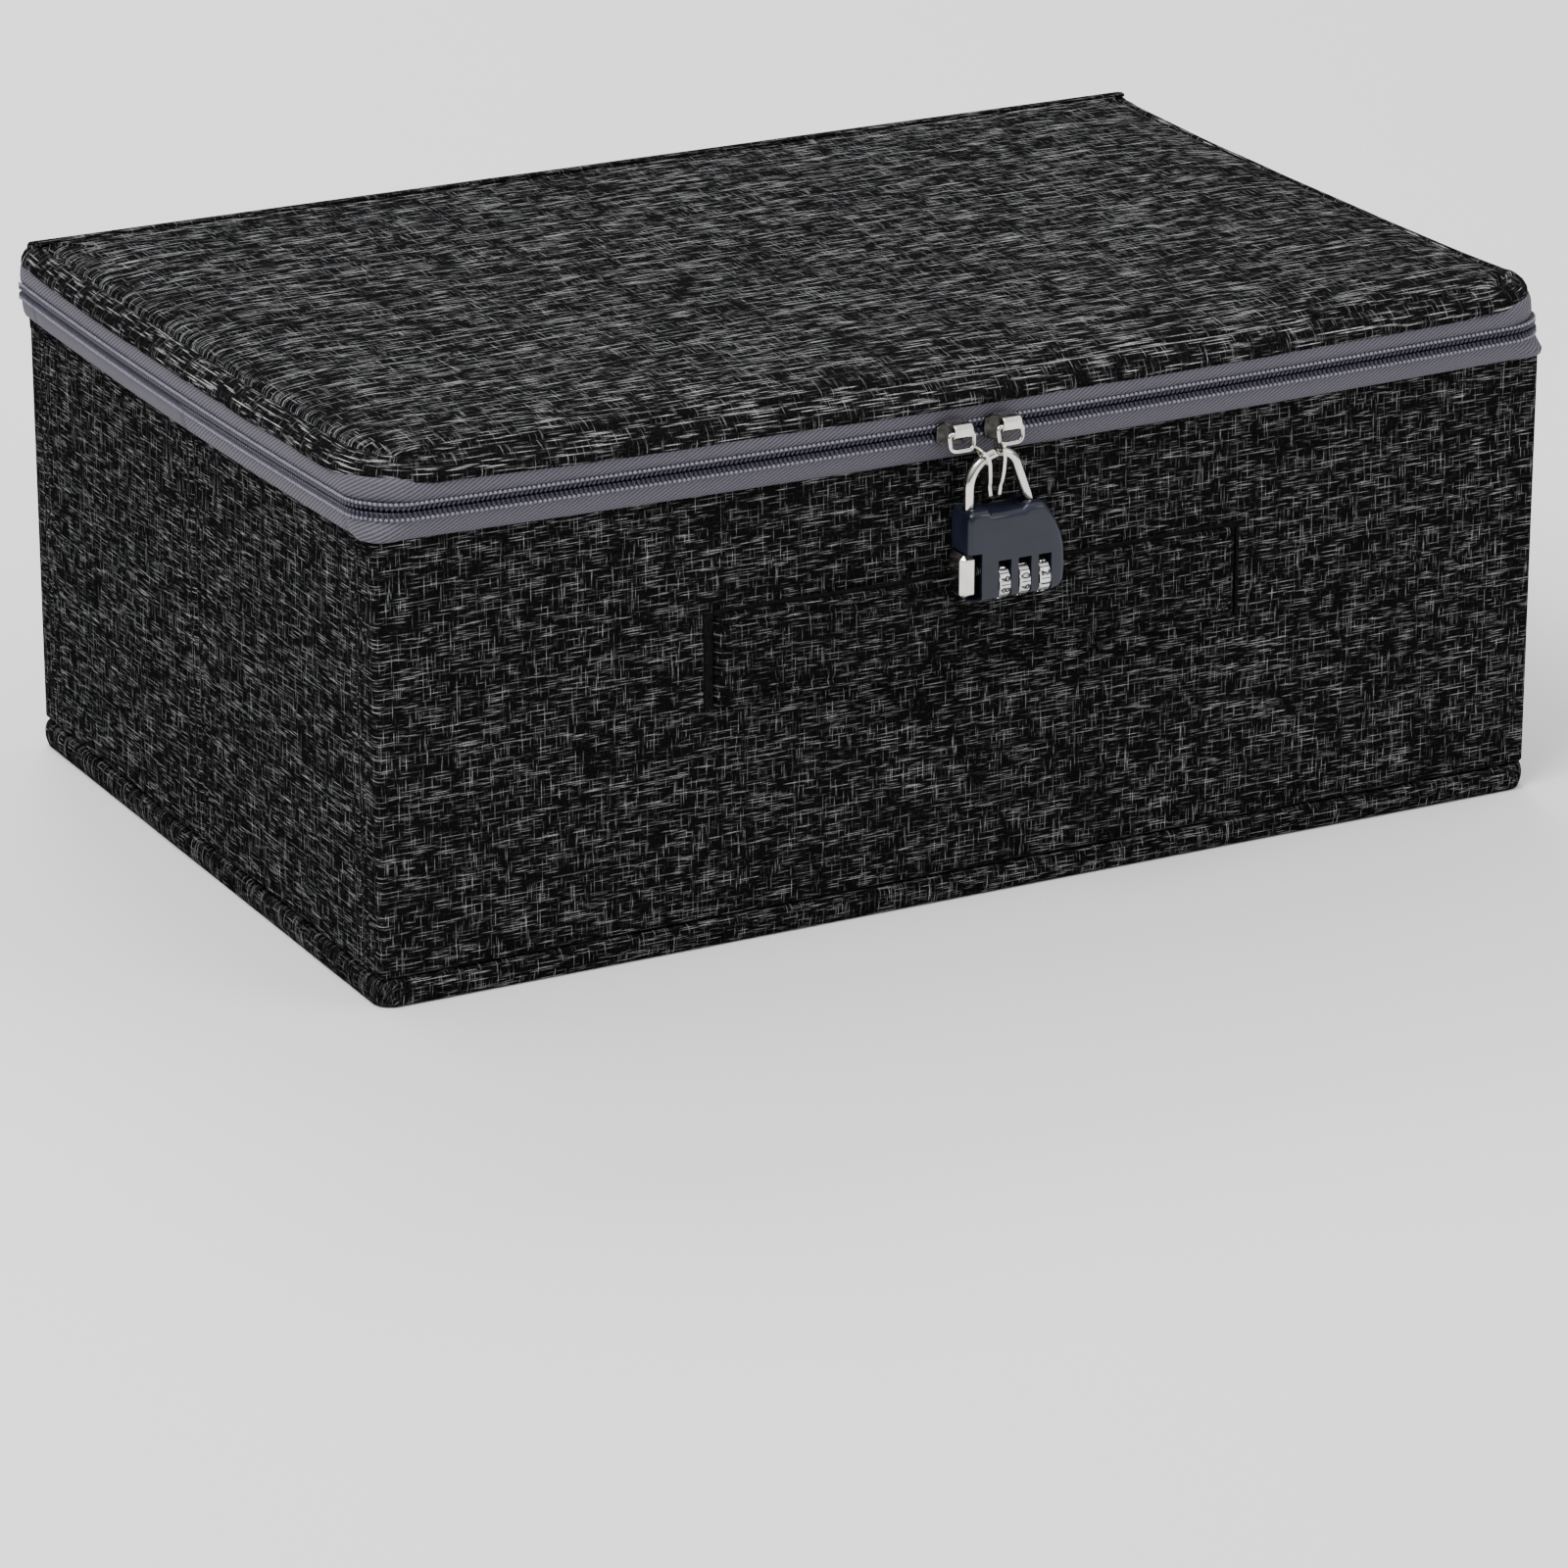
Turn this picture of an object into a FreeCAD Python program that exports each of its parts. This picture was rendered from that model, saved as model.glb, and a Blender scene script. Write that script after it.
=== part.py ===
"""Collapsible fabric document box with a zip-around lid and a three-dial padlock.

Millimetres. Origin: centre of the underside. +X runs along the front, the front faces -Y, +Z is up.
Every size is a cell of the sheet "Sizes"; the objects read those cells through expressions.
"""
import FreeCAD, Part
import Sketcher
import math
import os
import re

os.makedirs("parts", exist_ok=True)
doc = FreeCAD.newDocument("DocumentBox")

SIZES = {
    # the box
    "box_length": 400, "box_width": 260, "body_top": 145.5, "lid_top": 169,
    "return_depth": 12, "wall_corner_radius": 3,
    # sheets that every wall is made of
    "cover_thick": 1.0, "board_thick": 2.4, "lining_thick": 0.8,
    # base tray
    "tray_height": 9, "tray_proud": 1.0, "tray_skin": 1.2, "base_board_thick": 3,
    "base_lining_thick": 0.8, "tray_corner_radius": 6,
    # zip
    "tape_height": 5, "coil_height": 2.45, "zip_play": 0.1, "tape_proud": 2, "tape_thick": 4,
    "coil_proud": 3, "coil_thick": 4, "upper_tape_radius": 18, "upper_coil_radius": 17,
    # lid
    "lid_overhang": 3.4, "lid_rear_overhang": 0.6, "lid_corner_radius": 24,
    "lid_rear_radius": 5, "lid_roll_radius": 5.5, "lid_rim": 8, "lid_skin": 1.0,
    "lid_pad_thick": 3.5, "lid_board_thick": 2.4, "lid_lining_thick": 0.8,
    "hinge_strip_gap": 0.4, "hinge_strip_thick": 1.2, "hinge_strip_lap": 6,
    # gaps between bodies that fold past each other
    "fold_gap": 0.15, "lift_gap": 0.3, "end_gap": 1,
    # handle
    "strap_length": 180, "strap_width": 29, "strap_thick": 2.0, "strap_height": 91,
    "patch_length": 24, "patch_thick": 1.0, "strap_shift": -1,
    # sliders and pulls
    "hang_shift": -2, "slider_shift": -3.8, "slider_offset": 8.8, "slider_length": 12,
    "slider_tall": 11, "bar_drop": 1.6, "slider_plate": 1.2, "slider_gap": 0.9, "slider_hook": 1.3, "crown_length": 6,
    "crown_tall": 6, "crown_wall": 1.0, "bar_radius": 0.9, "bar_play": 0.1, "bar_reach": 5.4,
    "pull_thick": 1.0, "pull_width": 7.6, "pull_offset": 2.7, "pull_eye": 6.1,
    "eye_radius": 2.4, "pull_below": 14, "pull_above": 1.6, "bar_over": 1.2,
    "hook_inward": 0.3, "hook_upward": 0.5, "window_over": 1,
    "saddle_inset": 4.5, "saddle_ramp": 1.5, "socket_spare": 0.8, "slot_before": 3.6, "slot_after": 3.4,
    "slot_play": 0.3, "latch_play": 0.15, "latch_wide": 4, "latch_deep": 5, "latch_foot": 0.6,
    "latch_head": 0.9, "spring_room": 0.5, "button_round": 1, "coiled_share": 0.9, "spring_inset": 0.05,
    # padlock
    "wire_radius": 1.6, "left_leg": 8.5, "right_leg": 13, "shoulder_left": 5.5,
    "shoulder_right": 5, "bend_reach": 6, "bend_drop": 15.4, "bend_radius": 7, "leg_depth": 5,
    "case_left": 11, "case_right": 22.5, "case_drop": 16.4, "case_tall": 28.4,
    "case_thick": 12, "case_edge": 1.2, "case_wall": 1.4, "saddle_dip": 1.6,
    "shoulder_slope_x": 7, "shoulder_slope_z": 10.5, "socket_radius": 2.4,
    "dial_radius": 5.7, "dial_width": 3.7, "dial_pitch": 6.9, "dial_first": 1.4,
    "dial_rise": 4.6, "dial_forward": 1, "dial_clear": 0.35, "spindle_radius": 1.2,
    "spindle_play": 0.08, "button_tall": 13.8, "button_wide": 8.8, "button_deep": 4.2,
    "button_proud": 1.7, "button_rise": 1, "button_play": 0.15, "button_travel": 2.4,
    "spring_wire": 0.25, "spring_radius": 1.3, "spring_turns": 4, "spring_length": 3.6,
    "pin_radius": 0.6, "pin_play": 0.06, "pivot_depth": 1.6,
}

sheet = doc.addObject("Spreadsheet::Sheet", "Sizes")
for row, (alias, value) in enumerate(SIZES.items(), start=1):
    sheet.set(f"A{row}", alias)
    sheet.set(f"B{row}", str(value))
    sheet.setAlias(f"B{row}", alias)
doc.recompute()
size = {alias: float(getattr(sheet, alias)) for alias in SIZES}

# Heights and lines that several pieces share, as expressions of the driving sizes.
WALL = "(cover_thick + board_thick + lining_thick)"
X_END, Y_END = "(box_length / 2)", "(box_width / 2)"
WALL_FOOT = "(tray_height + lift_gap)"
COIL_LOW = "(body_top + tape_height)"
SPLIT_LOW = f"({COIL_LOW} + coil_height)"
SPLIT_HIGH = f"({SPLIT_LOW} + zip_play)"
COIL_HIGH = f"({SPLIT_HIGH} + coil_height)"
LID_FOOT = f"({COIL_HIGH} + tape_height)"
RETURN_LINE = f"({Y_END} - return_depth)"


def ex(text):
    """Point each size name in an expression at its cell."""
    return re.sub(r"[a-z_]+", lambda m: f"Sizes.{m[0]}" if m[0] in SIZES else m[0], text)


def number(text):
    """The value of an expression of size names, for shapes made in code."""
    return float(read_terms(text))


def read_terms(text):
    """Work an expression out through a scratch cell of the sheet."""
    sheet.set("D1", "=" + text)
    doc.recompute([sheet])
    return sheet.get("D1")


def block(name, x, y, z):
    """A box between a low and a high expression on each axis."""
    box = doc.addObject("Part::Box", name)
    for side, axis, (low, high) in zip(("Length", "Width", "Height"), "xyz", (x, y, z)):
        box.setExpression(side, ex(f"({high}) - ({low})"))
        box.setExpression(f"Placement.Base.{axis}", ex(low))
    return box


TURN = {"x": FreeCAD.Rotation(FreeCAD.Vector(0, 1, 0), 90),
        "y": FreeCAD.Rotation(FreeCAD.Vector(1, 0, 0), -90),
        "z": FreeCAD.Rotation()}


def rod(name, axis, radius, low, high, across):
    """A cylinder along an axis from low to high; across holds its place on the other two axes."""
    bar = doc.addObject("Part::Cylinder", name)
    bar.Placement = FreeCAD.Placement(FreeCAD.Vector(), TURN[axis])
    bar.setExpression("Radius", ex(radius))
    bar.setExpression("Height", ex(f"({high}) - ({low})"))
    bar.setExpression(f"Placement.Base.{axis}", ex(low))
    for other, place in zip([a for a in "xyz" if a != axis], across):
        bar.setExpression(f"Placement.Base.{other}", ex(place))
    return bar


def cut(name, base, tool):
    """The base with the tool taken away."""
    result = doc.addObject("Part::Cut", name)
    result.Base, result.Tool = base, tool
    return result


def fuse(name, pieces):
    """Several shapes joined into one."""
    result = doc.addObject("Part::MultiFuse", name)
    result.Shapes = pieces
    return result


def compound(name, pieces):
    """Separate solids kept as one node."""
    result = doc.addObject("Part::Compound", name)
    result.Links = pieces
    return result


def origin_plane(body, role):
    """One of a body's own origin planes."""
    return next(f for f in body.Origin.OriginFeatures if f.Role == role)


def plate(name, x, y, z, corners=(), roll=None):
    """A padded rectangle. corners holds (test on x and y, radius) for its upright edges,
    and roll is the radius that rounds its whole top rim."""
    body = doc.addObject("PartDesign::Body", name)
    sketch = body.newObject("Sketcher::SketchObject", name + "_outline")
    sketch.AttachmentSupport = [(origin_plane(body, "XY_Plane"), "")]
    sketch.MapMode = "FlatFace"
    sketch.setExpression("AttachmentOffset.Base.z", ex(z[0]))
    spots = [FreeCAD.Vector(*p) for p in ((0, 0, 0), (9, 0, 0), (9, 9, 0), (0, 9, 0))]
    for a, b in zip(spots, spots[1:] + spots[:1]):
        sketch.addGeometry(Part.LineSegment(a, b))
    for side in range(4):
        sketch.addConstraint(Sketcher.Constraint("Coincident", side, 2, (side + 1) % 4, 1))
        sketch.addConstraint(Sketcher.Constraint(("Horizontal", "Vertical")[side % 2], side))
    for line, point, kind, place in ((0, 1, "DistanceX", x[0]), (0, 2, "DistanceX", x[1]),
                                     (0, 1, "DistanceY", y[0]), (2, 1, "DistanceY", y[1])):
        value = number(place)
        index = sketch.addConstraint(Sketcher.Constraint(kind, -1, 1, line, point, value))
        sketch.setExpression(f"Constraints[{index}]", ex(place))
    pad = body.newObject("PartDesign::Pad", name + "_pad")
    pad.Profile = sketch
    pad.setExpression("Length", ex(f"({z[1]}) - ({z[0]})"))
    doc.recompute()
    last = pad
    for order, (wanted, radius) in enumerate(corners):
        names = [f"Edge{i}" for i, edge in enumerate(last.Shape.Edges, start=1)
                 if is_upright(edge) and wanted(edge.CenterOfMass)]
        last = rounded(body, f"{name}_corner{order}", last, names, radius)
    if roll:
        top = number(z[1])
        names = [f"Edge{i}" for i, edge in enumerate(last.Shape.Edges, start=1)
                 if all(abs(v.Point.z - top) < 1e-6 for v in edge.Vertexes)]
        last = rounded(body, name + "_roll", last, names, roll)
    return body


def is_upright(edge):
    """True for a straight edge along Z."""
    return (isinstance(edge.Curve, Part.Line)
            and abs(edge.Vertexes[0].Point.z - edge.Vertexes[-1].Point.z) > 1e-6)


def rounded(body, name, base, edges, radius):
    """A PartDesign fillet on named edges of the feature before it."""
    fillet = body.newObject("PartDesign::Fillet", name)
    fillet.Base = (base, edges)
    fillet.setExpression("Radius", ex(radius))
    doc.recompute()
    return fillet


def shaped(name, shape):
    """A node whose outline is worked out in code."""
    feature = doc.addObject("Part::Feature", name)
    feature.Shape = shape
    return feature


def front(point):
    return point.y < -size["box_width"] / 2 + size["lid_rim"] + size["tape_thick"]


def everywhere(point):
    return True


# ---------------------------------------------------------------- base tray
def base_tray():
    """Fabric tray with a stiff core, a pad and a lining; its rim is the hem band."""
    x, y = f"({X_END} + tray_proud)", f"({Y_END} + tray_proud)"
    inner_x, inner_y = f"({x} - tray_skin)", f"({y} - tray_skin)"
    outer = plate("tray_outer", (f"-{x}", x), (f"-{y}", y), ("0", "tray_height"),
                  [(everywhere, "tray_corner_radius")])
    hollow = plate("tray_hollow", (f"-{inner_x}", inner_x), (f"-{inner_y}", inner_y),
                   ("tray_skin", "tray_height + 1"),
                   [(everywhere, "tray_corner_radius - tray_skin")])
    levels = ("tray_skin", "tray_skin + base_board_thick",
              "tray_height - base_lining_thick", "tray_height")
    nodes = [cut("base_cover", outer, hollow)]
    for name, low, high in zip(("base_board", "base_pad", "base_lining"), levels, levels[1:]):
        nodes.append(plate(name, (f"-{inner_x}", inner_x), (f"-{inner_y}", inner_y),
                           (low, high), [(everywhere, "tray_corner_radius - tray_skin")]))
    return nodes


# ---------------------------------------------------------------- walls
def long_wall(name, side):
    """A front (side -1) or back (side 1) wall: a cover and a lining that turn the corners,
    with a board between them."""
    z = (WALL_FOOT, "body_top")
    face, core = "cover_thick", "(cover_thick + board_thick)"

    def across(outer, inner):
        ends = (f"({Y_END} - ({outer}))", f"({Y_END} - ({inner}))")
        return (ends[1], ends[0]) if side > 0 else (f"-{ends[0]}", f"-{ends[1]}")

    def shell(label, outer, panel, returned, corners):
        body = plate(label + "_full", (f"-({X_END} - {outer})", f"{X_END} - {outer}"),
                     across(outer, "return_depth"), z, corners)
        room = block(label + "_room", (f"-({X_END} - {returned})", f"{X_END} - {returned}"),
                     across(panel, "return_depth + 1"), (z[0] + " - 1", z[1] + " + 1"))
        return cut(label, body, room)

    outside = [(lambda p: p.y * side > number(RETURN_LINE) + 1, "wall_corner_radius")]
    cover = shell(name + "_cover", "0", face, core, outside)
    lining = shell(name + "_lining", core, WALL, WALL, [])
    board = block(name + "_board", (f"-({X_END} - {core})", f"{X_END} - {core}"),
                  across(face, core), z)
    return [cover, board, lining]


def side_half(name, side_x, side_y):
    """One half of a folding side wall, between the corner return and the centre crease."""
    nodes = []
    layers = (("cover", "0", "cover_thick", WALL_FOOT, "body_top"),
              ("board", "cover_thick", "(cover_thick + board_thick)", WALL_FOOT, "body_top"),
              ("lining", "(cover_thick + board_thick)", WALL, WALL_FOOT, "body_top"),
              ("lower_tape", "-tape_proud", "(tape_thick - tape_proud)", "body_top", COIL_LOW),
              ("lower_coil", "-coil_proud", "(coil_thick - coil_proud)", COIL_LOW, SPLIT_LOW))
    near, far = "fold_gap", f"({RETURN_LINE} - fold_gap)"
    y = (near, far) if side_y > 0 else (f"-{far}", f"-{near}")
    for layer, outer, inner, low, high in layers:
        a, b = f"({X_END} - ({outer}))", f"({X_END} - ({inner}))"
        x = (b, a) if side_x > 0 else (f"-{a}", f"-{b}")
        nodes.append(block(f"{name}_{layer}", x, y, (low, high)))
    return nodes


def corner_band(name, proud, thick, y, z, radius):
    """A strip of zip that runs along the front and turns both front corners."""
    outer_x, inner_x = f"({X_END} + {proud})", f"({X_END} + {proud} - {thick})"
    outer_y = f"({Y_END} + {proud})"
    spare = f"({y} + {radius})"
    outer = plate(name + "_outer", (f"-{outer_x}", outer_x), (f"-{outer_y}", spare), z,
                  [(front, radius)])
    room = plate(name + "_room", (f"-{inner_x}", inner_x),
                 (f"-({outer_y} - {thick})", f"{spare} + 1"),
                 (z[0] + " - 1", z[1] + " + 1"), [(front, f"{radius} - {thick}")])
    trim = block(name + "_trim", (f"-({outer_x} + 1)", f"{outer_x} + 1"), (y, f"{spare} + 1"),
                 (z[0] + " - 1", z[1] + " + 1"))
    return cut(name, cut(name + "_loop", outer, room), trim)


def front_zip():
    """Lower tape and coil of the front, with their corners."""
    line = f"-{RETURN_LINE}"
    return [corner_band("front_lower_tape", "tape_proud", "tape_thick", line,
                        ("body_top", COIL_LOW), "(return_depth + tape_proud)"),
            corner_band("front_lower_coil", "coil_proud", "coil_thick", line,
                        (COIL_LOW, SPLIT_LOW), "(return_depth + coil_proud)")]


def back_zip():
    """The two ends of the lower zip, on the returns of the back wall."""
    nodes = []
    for layer, proud, thick, z in (("lower_tape", "tape_proud", "tape_thick", ("body_top", COIL_LOW)),
                                   ("lower_coil", "coil_proud", "coil_thick", (COIL_LOW, SPLIT_LOW))):
        a, b = f"({X_END} + {proud})", f"({X_END} + {proud} - {thick})"
        y = (RETURN_LINE, f"{Y_END} - end_gap")
        pair = [block(f"back_{layer}_left", (f"-{a}", f"-{b}"), y, z),
                block(f"back_{layer}_right", (b, a), y, z)]
        nodes.append(compound(f"back_{layer}", pair))
    return nodes


def hinge_strip():
    """The fabric strip that carries the lid: lapped on the back wall and standing up behind the lid."""
    outer = f"({Y_END} + lid_rear_overhang + hinge_strip_gap + hinge_strip_thick)"
    standing = f"({Y_END} + lid_rear_overhang + hinge_strip_gap)"
    x = (f"-{X_END}", X_END)
    lap = block("hinge_strip_lap_part", x, (Y_END, outer), ("body_top - hinge_strip_lap", "body_top"))
    upright = block("hinge_strip_upright", x, (standing, outer), ("body_top", "lid_top - 0.5"))
    return [fuse("hinge_strip", [lap, upright])]


def handle():
    """Flat strap on the front with a stitched patch at each end."""
    y = f"-{Y_END}"
    middle = "strap_shift"
    z = ("strap_height - strap_width / 2", "strap_height + strap_width / 2")
    strap = block("handle_strap", (f"{middle} - strap_length / 2", f"{middle} + strap_length / 2"),
                  (f"{y} - strap_thick", y), z)
    patches = []
    for side, sign in (("left", "-"), ("right", "+")):
        edge = f"{middle} {sign} strap_length / 2"
        inner = f"{middle} {sign} (strap_length / 2 - patch_length)"
        x = (edge, inner) if sign == "-" else (inner, edge)
        patches.append(block(f"handle_patch_{side}", x,
                             (f"{y} - strap_thick - patch_thick", f"{y} - strap_thick"), z))
    return [strap, compound("handle_patches", patches)]


# ---------------------------------------------------------------- lid
def lid():
    """Lid shell with a rolled edge, pad, board and lining, and the upper half of the zip."""
    x, y_front = f"({X_END} + lid_overhang)", f"-({Y_END} + lid_overhang)"
    y_back = f"({Y_END} + lid_rear_overhang)"
    outer = plate("lid_outer", (f"-{x}", x), (y_front, y_back), (LID_FOOT, "lid_top"),
                  [(front, "lid_corner_radius"), (lambda p: p.y > 0, "lid_rear_radius")],
                  roll="lid_roll_radius")
    inner = ((f"-({x} - lid_rim)", f"{x} - lid_rim"), (f"{y_front} + lid_rim", f"{y_back} - lid_rim"))
    inner_corner = [(front, "lid_corner_radius - lid_rim")]
    room = plate("lid_room", *inner, (LID_FOOT + " - 1", "lid_top - lid_skin"), inner_corner)
    nodes = [cut("lid_cover", outer, room)]
    high = "lid_top - lid_skin"
    for name, thick in (("lid_pad", "lid_pad_thick"), ("lid_board", "lid_board_thick"),
                        ("lid_lining", "lid_lining_thick")):
        low = f"{high} - {thick}"
        nodes.append(plate(name, *inner, (low, high), inner_corner))
        high = low
    end = f"({Y_END} - end_gap)"
    nodes.append(corner_band("upper_tape", "tape_proud", "tape_thick", end,
                             (COIL_HIGH, LID_FOOT), "upper_tape_radius"))
    nodes.append(corner_band("upper_coil", "coil_proud", "coil_thick", end,
                             (SPLIT_HIGH, COIL_HIGH), "upper_coil_radius"))
    return nodes


# ---------------------------------------------------------------- sliders and pulls
SLIDER_FACE = f"-({Y_END} + coil_proud + slider_gap)"
SLIDER_FRONT = f"({SLIDER_FACE} - slider_plate)"
BAR_Y = f"({SLIDER_FRONT} - bar_reach)"
BAR_Z = f"({SPLIT_HIGH} - bar_drop)"
EYE_Z = f"({BAR_Z} - pull_eye)"


def slider(name, sign):
    """Front plate with a hook over the upper coil and an open crown that holds the pull's bar."""
    middle = f"(slider_shift {sign} slider_offset)"
    x = (f"{middle} - slider_length / 2", f"{middle} + slider_length / 2")
    z_mid = f"({SPLIT_HIGH})"
    front_plate = block(name + "_plate", x, (SLIDER_FRONT, SLIDER_FACE),
                        (f"{z_mid} - slider_tall / 2", f"{z_mid} + slider_tall / 2"))
    hook = block(name + "_hook", x, (SLIDER_FRONT, f"-({Y_END} + tape_proud + hook_inward)"),
                 (f"{COIL_HIGH} + hook_upward", f"{COIL_HIGH} + hook_upward + slider_hook"))
    half = "crown_length / 2"
    crown_x = (f"{middle} - {half}", f"{middle} + {half}")
    tip = f"({BAR_Y} - bar_radius - bar_play)"
    crown = block(name + "_crown", crown_x, (f"{tip} - crown_wall", SLIDER_FRONT),
                  (f"{BAR_Z} - crown_tall / 2", f"{BAR_Z} + crown_tall / 2"))
    window = block(name + "_window",
                   (f"{crown_x[0]} - window_over", f"{crown_x[1]} + window_over"), (tip, SLIDER_FRONT),
                   (f"{BAR_Z} - crown_tall / 2 + crown_wall", f"{BAR_Z} + crown_tall / 2 - crown_wall"))
    loop = cut(name + "_loop", crown, window)
    return fuse(name, [front_plate, hook, loop])


def pull(name, sign):
    """Cross bar that hangs in the crown, with a flat tab whose eye holds the shackle."""
    middle = f"(slider_shift {sign} slider_offset)"
    tab = f"(hang_shift {sign} pull_offset)"
    outward = f"({middle} {sign} (crown_length / 2 + bar_over))"
    x = (outward, tab) if sign == "-" else (tab, outward)
    bar = rod(name + "_bar", "x", "bar_radius", *x, (BAR_Y, BAR_Z))
    flat = block(name + "_flat", (f"{tab} - pull_thick / 2", f"{tab} + pull_thick / 2"),
                 (f"{BAR_Y} - pull_width / 2", f"{BAR_Y} + pull_width / 2"),
                 (f"{EYE_Z} - pull_below", f"{BAR_Z} + pull_above"))
    eye = rod(name + "_eye", "x", "eye_radius", f"{tab} - pull_thick", f"{tab} + pull_thick",
              (BAR_Y, EYE_Z))
    return fuse(name, [bar, cut(name + "_tab", flat, eye)])


# ---------------------------------------------------------------- padlock
def tangent_path(points, radii):
    """A wire of straight runs joined by tangent arcs at its inner points."""
    edges, start = [], points[0]
    for before, corner, after, radius in zip(points, points[1:], points[2:], radii):
        inward, onward = (before - corner).normalize(), (after - corner).normalize()
        half = inward.getAngle(onward) / 2
        reach = radius / math.tan(half)
        first, last = corner + inward * reach, corner + onward * reach
        bisector = (inward + onward).normalize()
        middle = corner + bisector * (radius / math.sin(half) - radius)
        edges += [Part.LineSegment(start, first).toShape(), Part.Arc(first, middle, last).toShape()]
        start = last
    edges.append(Part.LineSegment(start, points[-1]).toShape())
    return Part.Wire(edges)


def lock_frame():
    """Places that the padlock's pieces share: hang line, depth, case box and dial line."""
    s = size
    y, z = number(BAR_Y), number(EYE_Z)
    top = z - s["case_drop"]
    return {"x": s["hang_shift"], "y": y, "z": z, "top": top, "foot": top - s["case_tall"],
            "left": s["hang_shift"] - s["case_left"], "right": s["hang_shift"] + s["case_right"],
            "dial_y": y - s["dial_forward"], "dial_z": top - s["case_tall"] + s["dial_rise"],
            "pivot_x": s["hang_shift"] + s["right_leg"], "pivot_z": top - s["pivot_depth"]}


def dial_places(lock):
    """The middle of each dial along X."""
    return [lock["x"] + size["dial_first"] + n * size["dial_pitch"] for n in range(3)]


def shackle(lock):
    """Bent wire: an upright leg on the button's side and a sloping one on the other."""
    s, v = size, FreeCAD.Vector
    x, y, z = lock["x"], lock["y"], lock["z"]
    left, right, tip = x - s["left_leg"], x + s["right_leg"], lock["top"] - s["leg_depth"]
    points = [v(left, y, tip), v(left, y, z), v(x + s["bend_reach"], y, z),
              v(right, y, z - s["bend_drop"]), v(right, y, tip)]
    path = tangent_path(points, (s["shoulder_left"], s["shoulder_right"], s["bend_radius"]))
    ring = Part.Wire(Part.makeCircle(s["wire_radius"], points[0], v(0, 0, 1)))
    wire = path.makePipeShell([ring], True, True)
    bore = Part.makeCylinder(s["pin_radius"] + s["pin_play"], s["case_thick"],
                             v(lock["pivot_x"], y - s["case_thick"] / 2, lock["pivot_z"]), v(0, 1, 0))
    return shaped("shackle", wire.cut(bore))


def case_body(lock, y_low, y_high, edge_at):
    """Solid of one case half from its outline, with its outer face bevelled."""
    s, v = size, FreeCAD.Vector
    left, right, top, foot = lock["left"], lock["right"], lock["top"], lock["foot"]
    shoulder = right - s["shoulder_slope_x"]
    dip, ramp = top - s["saddle_dip"], s["saddle_ramp"]
    saddle_left = lock["x"] - s["left_leg"] + s["saddle_inset"]
    saddle_right = lock["pivot_x"] - s["saddle_inset"]
    outline = [(left, foot), (right, foot), (right, top - s["shoulder_slope_z"]), (shoulder, top),
               (saddle_right, top), (saddle_right - ramp, dip), (saddle_left + ramp, dip),
               (saddle_left, top), (left, top)]
    face = Part.Face(Part.makePolygon([v(x, y_low, z) for x, z in outline + outline[:1]]))
    solid = face.extrude(v(0, y_high - y_low, 0))
    rim = [edge for edge in solid.Edges
           if all(abs(p.Point.y - edge_at) < 1e-6 for p in edge.Vertexes)]
    return solid.makeChamfer(s["case_edge"], rim)


def case_room(lock):
    """Everything hollow inside the case: dial bay, slots, sockets, button bay, spindle and pin."""
    s, v = size, FreeCAD.Vector
    wall, y, half = s["case_wall"], lock["y"], s["case_thick"] / 2
    room = []
    reach = s["dial_radius"] + s["dial_clear"]
    dials = dial_places(lock)
    for x in dials:
        width = s["dial_width"] + 2 * s["dial_clear"]
        room.append(Part.makeCylinder(reach, width, v(x - width / 2, lock["dial_y"], lock["dial_z"]),
                                      v(1, 0, 0)))
    spindle_low = dials[0] - s["dial_pitch"] / 2
    spindle_high = dials[-1] + s["dial_pitch"] / 2
    room.append(Part.makeCylinder(s["spindle_radius"], spindle_high - spindle_low,
                                  v(spindle_low, lock["dial_y"], lock["dial_z"]), v(1, 0, 0)))
    leg_x = lock["x"] - s["left_leg"]
    depth = s["leg_depth"] + s["socket_spare"]
    room.append(Part.makeCylinder(s["socket_radius"], depth + 1, v(leg_x, y, lock["top"] - depth)))
    slot_low, slot_high = lock["pivot_x"] - s["slot_before"], lock["pivot_x"] + s["slot_after"]
    slot_half = s["wire_radius"] + s["slot_play"]
    room.append(Part.makeBox(slot_high - slot_low, 2 * slot_half, depth + 1,
                             v(slot_low, y - slot_half, lock["top"] - depth)))
    room.append(Part.makeCylinder(s["pin_radius"], 2 * (half - wall),
                                  v(lock["pivot_x"], y - half + wall, lock["pivot_z"]), v(0, 1, 0)))
    bay = button_box(lock, s["button_play"], s["button_travel"] + s["button_play"])
    room.append(bay)
    spring_x = bay.BoundBox.XMax
    room.append(Part.makeCylinder(s["spring_radius"] + s["spring_room"],
                                  s["spring_length"] - s["button_travel"],
                                  v(spring_x, y, button_middle(lock)), v(1, 0, 0)))
    room.append(latch_box(lock, s["latch_play"]))
    return room


def button_middle(lock):
    """Height of the button's centre."""
    return lock["foot"] + size["button_rise"] + size["button_tall"] / 2


def button_box(lock, play, inward):
    """The button's block, grown by play around and by inward at its inner end."""
    s = size
    low = FreeCAD.Vector(lock["left"] - s["button_proud"] - play, lock["y"] - s["button_wide"] / 2 - play,
                         lock["foot"] + s["button_rise"] - play)
    return Part.makeBox(s["button_proud"] + s["button_deep"] + play + inward,
                        s["button_wide"] + 2 * play, s["button_tall"] + 2 * play, low)


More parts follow.
